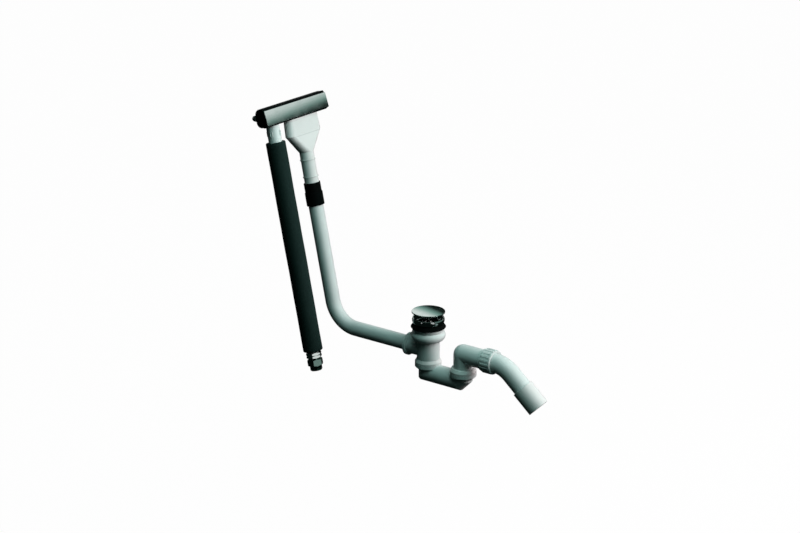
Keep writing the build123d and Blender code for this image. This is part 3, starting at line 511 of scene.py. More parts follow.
@dataclass(frozen=True)
class FoamSkin(Finish):
    """Closed-cell foam: small cells under a thin skin, dented here and there."""

    base: Colour
    cell: Colour
    roughness: float = 0.72
    specular: float = 0.1
    cell_scale: float = 620.0
    cell_softness: float = 0.6
    cell_span: Span = (0.1, 0.7)
    dents: Layer = Layer(36.0, 3.0)
    cell_share: float = 0.7
    dent_share: float = 0.2
    cell_dulling: float = 0.1
    cell_relief: float = 0.4
    relief: Span = (0.35, 0.0006)

    def wire(self, wiring: Wiring) -> None:
        """Add the foam's nodes.

        Args:
            wiring: The wiring of the material's tree.
        """
        place = self.coordinates(wiring)
        cells = wiring.signal(
            "ShaderNodeTexVoronoi",
            {"feature": "SMOOTH_F1"},
            {"Vector": place, "Scale": self.cell_scale, "Smoothness": self.cell_softness},
            output="Distance",
        )
        dents = self.noise(wiring, place, self.dents)
        skin = self.band(wiring, cells, *self.cell_span)
        shown = skin * self.cell_share + dents * self.dent_share
        self.close(
            wiring,
            {
                "Base Color": self.mix(wiring, shown, self.base, self.cell),
                "Roughness": self.roughness + skin * self.cell_dulling - self.cell_dulling / 2,
                "Specular IOR Level": self.specular,
                "Normal": self.bump(wiring, skin * self.cell_relief + dents, *self.relief),
            },
        )


# How many lines or grains a metre of each axis shows on metal, and how high up the
# leaning wall the funnel's painted crease shade lines stand, in metres
BAR_LINES: Point = (2400.0, 14.0, 2400.0)
TURNED_LINES: Point = (900.0, 900.0, 2600.0)
ZINC_GRAIN: Point = (1500.0, 1500.0, 1500.0)
FUNNEL_SHADE_LINES = (0.4126, 0.356, 0.319)

GREY = MouldedPlastic(
    "grey_moulding", (0.66, 0.69, 0.68, 1), (0.61, 0.64, 0.63, 1), (0.73, 0.76, 0.75, 1)
)
PALE = CreaseShadedPlastic(
    "pale_moulding",
    (0.7, 0.68, 0.67, 1),
    (0.66, 0.65, 0.64, 1),
    (0.76, 0.75, 0.74, 1),
    lean=WALL_LEAN,
    levels=FUNNEL_SHADE_LINES,
)
WHITE = MouldedPlastic(
    "white_moulding", (0.75, 0.77, 0.76, 1), (0.71, 0.73, 0.72, 1), (0.8, 0.82, 0.81, 1)
)
BLACK = MouldedPlastic(
    "black_moulding",
    (0.002, 0.003, 0.003, 1),
    (0.001, 0.002, 0.002, 1),
    (0.006, 0.008, 0.008, 1),
    roughness=0.5,
    specular=0.03,
)
LID_CHROME = PolishedChrome("lid_chrome", (0.62, 0.69, 0.67, 1), (0.5, 0.57, 0.55, 1), 0.07)
# The flange's chrome has a darker base than the lid's: painted shade, standing for the dark
# surroundings it reflects.
SHADED_FLANGE_CHROME = PolishedChrome("shaded_flange_chrome", (0.4, 0.43, 0.43, 1), (0.32, 0.35, 0.35, 1), 0.05)
BAR_CHROME = BrushedMetal(
    "bar_chrome", (0.6, 0.67, 0.65, 1), (0.55, 0.62, 0.6, 1), BAR_LINES, 0.0, 0.1
)
PLATED = BrushedMetal(
    "nickel_plating", (0.64, 0.69, 0.67, 1), (0.54, 0.59, 0.57, 1), TURNED_LINES, -WALL_LEAN, 0.07
)
# A darker teal copy of the nickel plating for the fitting under the nut: painted shade.
SHADED_PLATED = BrushedMetal(
    "shaded_plating", (0.15, 0.23, 0.205, 1), (0.11, 0.18, 0.16, 1), TURNED_LINES, -WALL_LEAN, 0.14
)
BRASS = BrushedMetal(
    "plain_brass", (0.66, 0.49, 0.22, 1), (0.58, 0.43, 0.2, 1), TURNED_LINES, -WALL_LEAN, 0.3
)
STEEL = BrushedMetal(
    "zinc_steel", (0.5, 0.53, 0.53, 1), (0.42, 0.45, 0.45, 1), ZINC_GRAIN, 0.0, 0.28
)
RUBBER = SoftRubber("rubber_skin", (0.002, 0.0025, 0.0025, 1), (0.006, 0.007, 0.007, 1))
FOAM = FoamSkin("foam_skin", (0.005, 0.011, 0.01, 1), (0.018, 0.034, 0.031, 1))


@dataclass(frozen=True)
class Place:
    """A local frame in millimetres, with z along a piece's axis."""

    origin: Point = (0.0, 0.0, 0.0)
    along: Point = (0.0, 0.0, 1.0)
    across: Point = (1.0, 0.0, 0.0)

    def axes(self) -> tuple[Vector, Vector, Vector]:
        """Return the local x, y and z directions.

        Returns:
            Three unit vectors in the part's frame.
        """
        z = Vector(self.along).normalized()
        x = Vector(self.across)
        x = (x - z * x.dot(z)).normalized()
        return x, z.cross(x), z

    def moved(self, x: float = 0.0, y: float = 0.0, z: float = 0.0) -> "Place":
        """Return the frame moved by local distances.

        Args:
            x: The distance along x.
            y: The distance along y.
            z: The distance along z.

        Returns:
            The new frame.
        """
        ax, ay, az = self.axes()
        origin = Vector(self.origin) + ax * x + ay * y + az * z
        return Place(tuple(origin), self.along, self.across)

    def turned(self, along: Point, across: Point) -> "Place":
        """Return the frame with new directions, given in its own axes.

        Args:
            along: The new z direction.
            across: The new x direction.

        Returns:
            The new frame.
        """
        ax, ay, az = self.axes()
        new_along = ax * along[0] + ay * along[1] + az * along[2]
        new_across = ax * across[0] + ay * across[1] + az * across[2]
        return Place(self.origin, tuple(new_along), tuple(new_across))

    def rigid(self) -> Matrix:
        """Return the turn and shift from the local frame to the part's frame, in metres."""
        turn = Matrix(self.axes()).transposed().to_4x4()
        return Matrix.Translation(Vector(self.origin) * MM) @ turn

    def matrix(self) -> Matrix:
        """Return the transform from local millimetres to metres in the part's frame."""
        return self.rigid() @ Matrix.Scale(MM, 4)


@dataclass(frozen=True)
class Corner:
    """A corner of an outline, with the radius that breaks its edge."""

    x: float
    y: float
    rounding: float = 0.0


def corners(*points: tuple[float, ...]) -> list[Corner]:
    """Return corners from (x, y) or (x, y, rounding) tuples."""
    return [Corner(*point) for point in points]


def oblong(spread: Span, rise: Span, roundings: Sequence[float]) -> list[Corner]:
    """Return a four-cornered outline.

    Args:
        spread: Its least and greatest x.
        rise: Its least and greatest y.
        roundings: The corners' roundings, from the lowest x and y round by the greatest x.

    Returns:
        The corners in order.
    """
    (near, far), (low, high) = spread, rise
    places = ((near, low), (far, low), (far, high), (near, high))
    return [Corner(*place, rounding) for place, rounding in zip(places, roundings)]


def rounded(outline: Sequence[Corner]) -> list[Vector]:
    """Return a closed outline's points with its corners rounded.

    Args:
        outline: The corners in order.

    Returns:
        The points as 2-D vectors, with one more beside each rounding to keep the flats flat.
    """
    points: list[Vector] = []
    for index, corner in enumerate(outline):
        here = Vector((corner.x, corner.y))
        last, following = outline[index - 1], outline[(index + 1) % len(outline)]
        before = Vector((last.x, last.y)) - here
        after = Vector((following.x, following.y)) - here
        if corner.rounding <= 0.0:
            points.append(here)
            continue
        half = before.angle(after) / 2
        longest = LONGEST_SHARE * min(before.length, after.length)
        reach = min(corner.rounding / tan(half), longest)
        radius = reach * tan(half)
        middle = (before.normalized() + after.normalized()).normalized()
        centre = here + middle * (radius / sin(half))
        start = here + before.normalized() * reach - centre
        sweep = start.angle_signed(here + after.normalized() * reach - centre)
        angle = atan2(start.y, start.x)
        points.append(here + before.normalized() * reach * CORNER_GUARD)
        for step in range(ROUND_STEPS + 1):
            turn = angle - sweep * step / ROUND_STEPS
            points.append(centre + Vector((cos(turn), sin(turn))) * radius)
        points.append(here + after.normalized() * reach * CORNER_GUARD)
    return points


def slot_outline(width: float, depth: float, count: int) -> list[Vector]:
    """Return a slot with round ends, its width along y, as evenly numbered points.

    Args:
        width: The slot's full width.
        depth: Its depth.
        count: The number of points.

    Returns:
        The points in order.
    """
    radius = depth / 2
    straight = max(width / 2 - radius, 0.0)
    points = []
    for index in range(count):
        angle = 2 * pi * index / count
        shift = straight if sin(angle) >= 0 else -straight
        points.append(Vector((radius * cos(angle), radius * sin(angle) + shift)))
    return points


Radial = Callable[[float, float, float], float]


class Shell:
    """Collects the closed skins of one piece, given in millimetres, and makes it an object."""

    def __init__(self, name: str) -> None:
        """Start an empty piece."""
        self.name = name
        self.mesh = bmesh.new()

    def _loop(self, points: Sequence[Vector]) -> list[bmesh.types.BMVert]:
        """Add the points as vertices."""
        return [self.mesh.verts.new(point) for point in points]

    def _bridge(self, first: list[bmesh.types.BMVert], second: list[bmesh.types.BMVert]) -> None:
        """Add the faces between two loops, either of which may be a single pole.

        Args:
            first: One loop or pole.
            second: The other.
        """
        count = max(len(first), len(second))
        for index in range(count):
            following = (index + 1) % count
            ring = [first[index % len(first)]]
            if len(first) > 1:
                ring.append(first[following])
            if len(second) > 1:
                ring.append(second[following])
            ring.append(second[index % len(second)])
            self.mesh.faces.new(ring)

    def lathe(
        self,
        place: Place,
        outline: Sequence[Corner],
        segments: int = SEGMENTS,
        radial: Radial | None = None,
    ) -> "Shell":
        """Turn a closed outline of (radius, height) about the place's axis.

        Args:
            place: The frame of the axis.
            outline: The corners of the outline.
            segments: The number of faces round the axis.
            radial: A function of angle, radius and height that gives the true radius.

        Returns:
            The shell itself.
        """
        matrix = place.matrix()
        loops = []
        for radius, height in rounded(outline):
            if radius < POLE_RADIUS:
                loops.append(self._loop([matrix @ Vector((0.0, 0.0, height))]))
                continue
            ring = []
            for index in range(segments):
                angle = 2 * pi * index / segments
                true = radial(angle, radius, height) if radial else radius
                ring.append(matrix @ Vector((true * cos(angle), true * sin(angle), height)))
            loops.append(self._loop(ring))
        for first, second in zip(loops, loops[1:] + loops[:1]):
            if len(first) > 1 or len(second) > 1:
                self._bridge(first, second)
        return self

    def skin(self, loops: Sequence[Sequence[Vector]], closed: bool = False) -> "Shell":
        """Join loops of equal length; an open row of loops gets a cap at each end.

        Args:
            loops: The loops in order.
            closed: Whether the last loop joins the first.

        Returns:
            The shell itself.
        """
        made = [self._loop(loop) for loop in loops]
        for first, second in zip(made, made[1:]):
            self._bridge(first, second)
        if closed:
            self._bridge(made[-1], made[0])
        else:
            self.mesh.faces.new(made[0])
            self.mesh.faces.new(made[-1])
        return self

    def prism(
        self, place: Place, outline: Sequence[Corner], bottom: float, top: float, edge: float
    ) -> "Shell":
        """Extrude a box-like outline along the place's axis, with its end edges rounded by edge.

        Args:
            place: The frame of the axis.
            outline: The corners of the outline.
            bottom: The lower end.
            top: The upper end.
            edge: The rounding of the end edges.

        Returns:
            The shell itself.
        """
        matrix = place.matrix()
        points = rounded(outline)
        centre = sum(points, Vector((0.0, 0.0))) / len(points)
        quarter = [radians(90.0 * step / ROUND_STEPS) for step in range(ROUND_STEPS + 1)]
        rows = [(edge * (1 - cos(a)), edge * (1 - sin(a))) for a in quarter]
        rows = [(0.0, edge * END_GUARD)] + rows + [(edge * END_GUARD, 0.0)]
        levels = [(bottom + rise, inset) for rise, inset in rows]
        levels += [(top - rise, inset) for rise, inset in rows[::-1]]
        loops = []
        for height, inset in levels:
            ring = []
            for point in points:
                x = point.x - (inset if point.x > centre.x else -inset)
                y = point.y - (inset if point.y > centre.y else -inset)
                ring.append(matrix @ Vector((x, y, height)))
            loops.append(ring)
        return self.skin(loops)

    def hexagon(self, place: Place, flats: float, bottom: float, top: float, bore: float) -> "Shell":
        """Add a bored hexagon whose corners are cut by a cone at both ends.

        Args:
            place: The frame of the axis; a corner stands on its x direction.
            flats: The width across flats.
            bottom: The lower end.
            top: The upper end.
            bore: The bore's radius.

        Returns:
            The shell itself.
        """
        matrix = place.matrix()
        face = flats / 2 - HEXAGON_INSET
        rows: list[list[Vector]] = [[] for _ in range(6)]
        for index in range(SEGMENTS):
            angle = 2 * pi * index / SEGMENTS
            reach = flats / 2 / cos((angle % (pi / 3)) - pi / 6)
            drop = (reach - face) * tan(HEXAGON_CONE)
            levels = (bottom, bottom, bottom + drop, top - drop, top, top)
            for row, radius, height in zip(rows, (bore, face, reach, reach, face, bore), levels):
                row.append(matrix @ Vector((radius * cos(angle), radius * sin(angle), height)))
        return self.skin(rows, closed=True)

    def add(self, mesh: bpy.types.Mesh, place: Place | None = None) -> "Shell":
        """Add a finished mesh in metres, set at a place, and free it.

        Args:
            mesh: The mesh.
            place: Its frame, or none to leave it where it is.

        Returns:
            The shell itself.
        """
        if place is not None:
            mesh.transform(place.rigid())
        self.mesh.from_mesh(mesh)
        bpy.data.meshes.remove(mesh)
        return self

    def data(self) -> bpy.types.Mesh:
        """Return the skins as a plain mesh with its faces outwards.

        Returns:
            The mesh, in metres; the shell is used up.
        """
        bmesh.ops.remove_doubles(self.mesh, verts=self.mesh.verts, dist=MERGE_DISTANCE)
        bmesh.ops.recalc_face_normals(self.mesh, faces=self.mesh.faces)
        made = bpy.data.meshes.new(self.name)
        self.mesh.to_mesh(made)
        self.mesh.free()
        return made

    def piece(self, finish: Finish, body: Body, slot: Slot, *nodes: str) -> bpy.types.Object:
        """Turn the shell into an object that stands for CAD nodes.

        Args:
            finish: The surface finish.
            body: The body that the piece rides on.
            slot: The record's material slot; not used.
            nodes: The CAD nodes that the piece replaces.

        Returns:
            The new object.
        """
        data = self.data()
        data.materials.clear()
        data.materials.append(finish.material())
        data.polygons.foreach_set("material_index", [0] * len(data.polygons))
        data.shade_smooth()
        data.set_sharp_from_angle(angle=SMOOTH_ANGLE)
        made = bpy.data.objects.new(self.name, data)
        bpy.context.scene.collection.objects.link(made)
        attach(made, body.value)
        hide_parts(*nodes)
        LOG.info("%s: %d faces on %s", self.name, len(data.polygons), body.value)
        return made


def dress(finish: Finish, *nodes: str) -> None:
    """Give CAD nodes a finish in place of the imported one.

    Args:
        finish: The surface finish.
        nodes: The names of the CAD nodes.
    """
    for name in nodes:
        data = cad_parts[name].data
        data.materials.clear()
        data.materials.append(finish.material())
        LOG.info("%s: finish %s", name, finish.name)


class InputKind(Enum):
    """The kinds of named input that a recipe can have."""

    LENGTH = "NodeSocketFloat"
    COUNT = "NodeSocketInt"
    VECTOR = "NodeSocketVector"
    FINISH = "NodeSocketMaterial"


class Recipe:
    """A Geometry Nodes tree that runs on a mesh and is baked into a plain one."""

    def __init__(self, name: str) -> None:
        """Start a tree with its geometry sockets.

        Args:
            name: The tree's name.
        """
        self.tree = bpy.data.node_groups.new(name, "GeometryNodeTree")
        for way in ("INPUT", "OUTPUT"):
            self.tree.interface.new_socket("Geometry", in_out=way, socket_type="NodeSocketGeometry")
        self.wiring = Wiring(self.tree)
        self.entry = self.tree.nodes.new("NodeGroupInput")
        self.identifiers: dict[str, str] = {}

    def given(self, name: str, kind: InputKind) -> Signal:
        """Add a named input and return its signal.

        Args:
            name: The input's name.
            kind: Its kind.

        Returns:
            The input's signal.
        """
        item = self.tree.interface.new_socket(name, in_out="INPUT", socket_type=kind.value)
        self.identifiers[name] = item.identifier
        return Signal(self.wiring, self.entry.outputs[name])

    def start(self) -> Signal:
        """Return the geometry that the tree runs on."""
        return Signal(self.wiring, self.entry.outputs["Geometry"])

    def end(self, geometry: Signal) -> None:
        """Close the tree with Realize Instances and Set Material.

        Args:
            geometry: The geometry that the tree has made.
        """
        finish = self.given("Finish", InputKind.FINISH)
        plain = self.wiring.signal("GeometryNodeRealizeInstances", inputs={"Geometry": geometry})
        dressed = self.wiring.signal(
            "GeometryNodeSetMaterial", inputs={"Geometry": plain, "Material": finish}
        )
        self.wiring.node("NodeGroupOutput", inputs={"Geometry": dressed})

    def bake(self, start: bpy.types.Mesh, values: dict[str, object]) -> bpy.types.Mesh:
        """Run the tree on a mesh, which is freed.

        Args:
            start: The mesh to run on.
            values: The named inputs' values.

        Returns:
            The result as a plain mesh.
        """
        host = bpy.data.objects.new("recipe_host", start)
        bpy.context.scene.collection.objects.link(host)
        modifier = host.modifiers.new("recipe", "NODES")
        modifier.node_group = self.tree
        for name, value in values.items():
            modifier[self.identifiers[name]] = value
        graph = bpy.context.evaluated_depsgraph_get()
        result = bpy.data.meshes.new_from_object(host.evaluated_get(graph))
        host.modifiers.remove(modifier)
        bpy.data.objects.remove(host)
        bpy.data.meshes.remove(start)
        return result


class RowRecipe(Recipe):
    """Repeats a mesh along a line and about the axis, as for arms, ribs, lugs and bolts."""

    def __init__(self) -> None:
        """Build the tree."""
        super().__init__("row_of_pieces")
        count = self.given("Count", InputKind.COUNT)
        first = self.given("First Place", InputKind.VECTOR)
        step = self.given("Step", InputKind.VECTOR)
        first_turn = self.given("First Turn", InputKind.LENGTH)
        turn = self.given("Turn", InputKind.LENGTH)
        line = self.wiring.signal(
            "GeometryNodeMeshLine",
            {"mode": "OFFSET"},
            {"Count": count, "Start Location": first, "Offset": step},
        )
        number = self.wiring.signal("GeometryNodeInputIndex")
        angle = self.wiring.signal("ShaderNodeCombineXYZ", inputs={"Z": first_turn + number * turn})
        self.end(
            self.wiring.signal(
                "GeometryNodeInstanceOnPoints",
                inputs={"Points": line, "Instance": self.start(), "Rotation": angle},
            )
        )

    def around(
        self, mesh: bpy.types.Mesh, finish: Finish, count: int, first_turn: float = 0.0
    ) -> bpy.types.Mesh:
        """Return a mesh repeated evenly about its z axis, from first_turn in degrees."""
        values = {"Count": count, "First Turn": radians(first_turn), "Turn": 2 * pi / count}
        return self.bake(mesh, values | {"Finish": finish.material()})

    def line(
        self, mesh: bpy.types.Mesh, finish: Finish, count: int, first: Point, step: Point
    ) -> bpy.types.Mesh:
        """Return a mesh repeated along a line, with first and step in metres."""
        values = {"Count": count, "First Place": first, "Step": step}
        return self.bake(mesh, values | {"Finish": finish.material()})


class HelixRecipe(Recipe):
    """Sweeps a small section along a helix about z, as for a thread or a spring."""

    def __init__(self) -> None:
        """Build the tree."""
        super().__init__("helix_sweep")
        radius = self.given("Radius", InputKind.LENGTH)
        height = self.given("Height", InputKind.LENGTH)
        turns = self.given("Turns", InputKind.LENGTH)
        section = self.given("Section Radius", InputKind.LENGTH)
        sides = self.given("Section Sides", InputKind.COUNT)
        helix = self.wiring.signal(
            "GeometryNodeCurveSpiral",
            inputs={
                "Resolution": TURN_STEPS,
                "Rotations": turns,
                "Start Radius": radius,
                "End Radius": radius,
                "Height": height,
            },
        )
        outline = self.wiring.signal(
            "GeometryNodeCurvePrimitiveCircle", inputs={"Resolution": sides, "Radius": section}
        )
        self.end(
            self.wiring.signal(
                "GeometryNodeCurveToMesh",
                inputs={"Curve": helix, "Profile Curve": outline, "Fill Caps": True},
            )
        )

    def sweep(
        self, finish: Finish, radius: float, height: float, turns: float, section: float, sides: int
    ) -> bpy.types.Mesh:
        """Return a helix that starts at z = 0, with its sizes in millimetres.

        Args:
            finish: The surface finish.
            radius: The helix's radius.
            height: Its height.
            turns: Its number of turns.
            section: The radius of its section.
            sides: The number of the section's sides.

        Returns:
            The helix as a mesh in metres.
        """
        values = {
            "Radius": radius * MM,
            "Height": height * MM,
            "Turns": turns,
            "Section Radius": section * MM,
            "Section Sides": sides,
            "Finish": finish.material(),
        }
        return self.bake(bpy.data.meshes.new("helix"), values)


class PipeRecipe(Recipe):
    """Sweeps a hollow round pipe along a route whose corners it bends."""

    def __init__(self) -> None:
        """Build the tree."""
        super().__init__("bent_pipe")
        bend = self.given("Bend Radius", InputKind.LENGTH)
        outer = self.given("Pipe Radius", InputKind.LENGTH)
        wall = self.given("Wall", InputKind.LENGTH)
        route = self.wiring.signal("GeometryNodeMeshToCurve", inputs={"Mesh": self.start()})
        bent = self.wiring.signal(
            "GeometryNodeFilletCurve",
            {"mode": "POLY"},
            {"Curve": route, "Count": BEND_STEPS, "Radius": bend},
        )
        ring = self.wiring.signal(
            "GeometryNodeCurvePrimitiveCircle", inputs={"Resolution": PIPE_SIDES, "Radius": outer}
        )
        skin = self.wiring.signal(
            "GeometryNodeCurveToMesh", inputs={"Curve": bent, "Profile Curve": ring}
        )
        lining = self.wiring.signal(
            "GeometryNodeExtrudeMesh",
            inputs={"Mesh": skin, "Offset Scale": 0.0 - wall, "Individual": False},
        )
        both = self.wiring.signal("GeometryNodeJoinGeometry", inputs={"Geometry": [skin, lining]})
        joined = {"Geometry": both, "Distance": PIPE_SEAM}
        self.end(self.wiring.signal("GeometryNodeMergeByDistance", inputs=joined))

    def sweep(
        self, finish: Finish, route: Sequence[Point], bend: float, outer: float, wall: float
    ) -> bpy.types.Mesh:
        """Return the pipe along a route in millimetres.

        Args:
            finish: The surface finish.
            route: The route's corners in the part's frame.
            bend: The bend radius.
            outer: The outer radius.
            wall: The wall thickness.

        Returns:
            The pipe as a mesh in metres.
        """
        line = bpy.data.meshes.new("pipe_route")
        legs = [(start, start + 1) for start in range(len(route) - 1)]
        line.from_pydata([Vector(point) * MM for point in route], legs, [])
        values = {"Bend Radius": bend * MM, "Pipe Radius": outer * MM, "Wall": wall * MM}
        return self.bake(line, values | {"Finish": finish.material()})


@dataclass(frozen=True)
class Recipes:
    """The recipes that the sub-assemblies share."""

    row: RowRecipe
    helix: HelixRecipe
    pipe: PipeRecipe


# The directions up and out of the leaning wall, and the frames of the sub-assemblies
LEAN = radians(WALL_LEAN)
RISE: Point = (-sin(LEAN), 0.0, cos(LEAN))
OUT: Point = (cos(LEAN), 0.0, sin(LEAN))
WASTE = Place()
TRAP_OUTLET = Place((90.0, 0.0, 0.0))
ELBOW_RUN = Place((90.0, 0.0, -48.8), (1.0, 0.0, 0.0), (0.0, 1.0, 0.0))
RISER = Place((-244.2, 0.0, -57.2), RISE, OUT)
SUPPLY = Place((-244.2, -90.0, -57.2), RISE, OUT)
HEAD = RISER.moved(y=-27.5, z=455.5)


@dataclass(frozen=True)
class BathOutlet:
    """The chrome lid and flange of the push-open plug, its spring, and the gasket below."""

    lid_radius: float = 35.0
    lid_bottom: float = 23.2
    lid_edge: float = 26.2
    lid_crown: float = 0.8
    crown_rings: tuple[float, ...] = (33.0, 30.0, 25.0, 20.0, 15.0, 10.0, 5.0, 0.0)
    crown_step: float = 0.05
    boss_radii: Span = (4.1, 7.0)
    boss_depth: float = 4.0
    seal_radii: Span = (23.65, 28.65)
    seal_depth: float = 2.0
    rim: Span = (31.0, 33.0)
    rim_top: float = 12.5
    belly: Span = (34.0, 7.7)
    foot: float = 31.5
    side_steps: int = 10
    throat: float = 21.5
    tail: float = 25.0
    tail_bottom: float = -22.0
    dish_bottom: float = 4.0
    hub_radii: Span = (8.0, 11.0)
    hub_ends: Span = (-15.0, -3.0)
    arms: int = 4
    arm_reach: Span = (9.5, 23.2)
    arm_width: float = 3.0
    arm_ends: Span = (-13.0, -5.0)
    arm_edge: float = 0.5
    spring_radius: float = 4.0
    spring_wire: float = 0.6
    spring_sides: int = 12
    spring_turns: float = 5.0
    spring_bottom: float = -31.8
    spring_length: float = 20.0
    spring_play: float = 0.1
    gasket_bore: float = 25.3
    gasket_foot: float = 36.08
    gasket_lip: float = 37.0
    gasket_levels: Point = (-8.7, -7.61, -6.53)

    def lid(self) -> None:
        """Build the crowned lid with its boss."""
        bore, boss = self.boss_radii
        boss_bottom = self.lid_bottom - self.boss_depth
        crown = [
            (radius, self.lid_edge + self.lid_crown * (1 - (radius / self.lid_radius) ** 2))
            for radius in self.crown_rings
        ]
        outline = corners(
            (0.0, self.lid_bottom),
            (bore, self.lid_bottom),
            (bore, boss_bottom, 0.3),
            (boss, boss_bottom, 0.4),
            (boss, self.lid_bottom, 0.6),
            (self.lid_radius, self.lid_bottom, 0.7),
            (self.lid_radius, self.lid_edge - self.crown_step, 1.1),
            *crown,
        )
        shell = Shell("lid").lathe(WASTE, outline, LID_SEGMENTS)
        shell.piece(LID_CHROME, Body.PLUG, Slot.CHROME_LID, "plug_lid")

    def seal(self) -> None:
        """Build the rubber ring under the lid."""
        ends = (self.lid_bottom - self.seal_depth, self.lid_bottom)
        shell = Shell("lid_seal").lathe(WASTE, oblong(self.seal_radii, ends, (0.7, 0.7, 0.3, 0.3)))
        shell.piece(RUBBER, Body.PLUG, Slot.BLACK_RUBBER, "plug_seal")

    def side(self) -> list[Span]:
        """Return points on the arc of the flange's side, from its foot to its rim.

        Returns:
            The points as radius and height, without the arc's two ends.
        """
        foot, rim = Vector((self.foot, 0.0)), Vector((self.rim[1], self.rim_top))
        belly, chord = Vector(self.belly) - foot, rim - foot
        cross = 2 * (belly.x * chord.y - belly.y * chord.x)
        x = chord.y * belly.length_squared - belly.y * chord.length_squared
        y = belly.x * chord.length_squared - chord.x * belly.length_squared
        centre = foot + Vector((x, y)) / cross
        radius = (foot - centre).length
        low, high = (atan2(point.y - centre.y, point.x - centre.x) for point in (foot, rim))
        turns = [low + (high - low) * step / self.side_steps for step in range(1, self.side_steps)]
        return [(centre.x + radius * cos(turn), centre.y + radius * sin(turn)) for turn in turns]

    def flange(self, recipes: Recipes) -> None:
        """Build the flange with its dish, tail, hub and spider.

        Args:
            recipes: The recipes that the sub-assemblies share.
        """
        outline = corners(
            (self.throat, self.tail_bottom, 0.4),
            (self.tail, self.tail_bottom, 0.8),
            (self.tail, 0.0, 0.3),
            (self.foot, 0.0, 0.25),
            *self.side(),
            (self.rim[1], self.rim_top, 0.9),
            (self.rim[0], self.rim_top, 0.9),
            (self.throat, self.dish_bottom, 2.0),
        )
        hub = oblong(self.hub_radii, self.hub_ends, (0.4, 0.6, 0.6, 0.4))
        half = self.arm_width / 2
        shape = oblong(self.arm_reach, (-half, half), (0.4, 0.4, 0.4, 0.4))
        arm = Shell("arm").prism(WASTE, shape, *self.arm_ends, self.arm_edge).data()
        shell = Shell("flange").lathe(WASTE, outline, LID_SEGMENTS).lathe(WASTE, hub)
        shell.add(recipes.row.around(arm, SHADED_FLANGE_CHROME, self.arms))
        shell.piece(SHADED_FLANGE_CHROME, Body.BASE, Slot.CHROME_FLANGE, "waste_flange")

    def spring(self, recipes: Recipes) -> None:
        """Build the spring at one length, with a mesh of its own; the real spring shortens as the
        plug goes down.

        Args:
            recipes: The recipes that the sub-assemblies share.
        """
        gap = self.spring_wire + self.spring_play
        height = self.spring_length - 2 * gap
        coil = recipes.helix.sweep(
            STEEL, self.spring_radius, height, self.spring_turns, self.spring_wire, self.spring_sides
        )
        shell = Shell("spring").add(coil, WASTE.moved(z=self.spring_bottom + gap))
        made = shell.piece(STEEL, Body.BASE, Slot.STEEL, "plug_spring")
        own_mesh(made)

    def gasket(self) -> None:
        """Build the profile gasket under the bath's floor."""
        bottom, lip, shoulder = self.gasket_levels
        outline = corners(
            (self.gasket_bore, bottom, 0.3),
            (self.gasket_foot, bottom, 0.6),
            (self.gasket_lip, lip, 0.5),
            (self.gasket_foot, shoulder, 0.8),
            (self.foot, 0.0, 0.4),
            (self.gasket_bore, 0.0, 0.3),
        )
        shell = Shell("gasket").lathe(WASTE, outline)
        shell.piece(RUBBER, Body.BASE, Slot.BLACK_RUBBER, "bath_gasket")

    def build(self, recipes: Recipes) -> None:
        """Build the pieces and dress the ones that stay as they are.

        Args:
            recipes: The recipes that the sub-assemblies share.
        """
        self.lid()
        self.seal()
        self.flange(recipes)
        self.spring(recipes)
        self.gasket()
        dress(PLATED, "plug_stem")
        dress(WHITE, "cartridge_body", "cartridge_cap")


@dataclass(frozen=True)
class WasteAndTrap:
    """The bowl with its overflow branch, and the trap with its snap rings."""

    ring_bore: float = 20.3
    ring_neck: float = 24.0
    ring_radius: float = 27.9
    skirt_bore: float = 25.6
    ring_top: float = -78.0
    ring_shoulder: float = -84.0
    ring_bottom: float = -88.7

    def ring(self, place: Place, name: str, node: str) -> None:
        """Build one snap ring, a cone above a short skirt.

        Args:
            place: The frame of the socket's axis.
            name: The piece's name.
            node: The CAD node that it replaces.
        """
        outline = corners(
            (self.ring_bore, self.ring_top, 0.3),
            (self.ring_neck, self.ring_top, 0.6),
            (self.ring_radius, self.ring_shoulder, 1.0),
            (self.ring_radius, self.ring_bottom, 0.4),
            (self.skirt_bore, self.ring_bottom, 0.3),
            (self.skirt_bore, self.ring_shoulder, 0.2),
            (self.ring_bore, self.ring_shoulder, 0.2),
        )
        Shell(name).lathe(place, outline).piece(PALE, Body.BASE, Slot.GREY_PLASTIC, node)

    def build(self) -> None:
        """Build the rings and dress the mouldings and seals."""
        self.ring(WASTE, "inlet_ring", "trap_inlet_ring")
        self.ring(TRAP_OUTLET, "outlet_ring", "trap_outlet_ring")
        dress(GREY, "waste_body", "trap_bend")
        dress(RUBBER, "branch_seal", "trap_inlet_seal", "trap_outlet_seal")


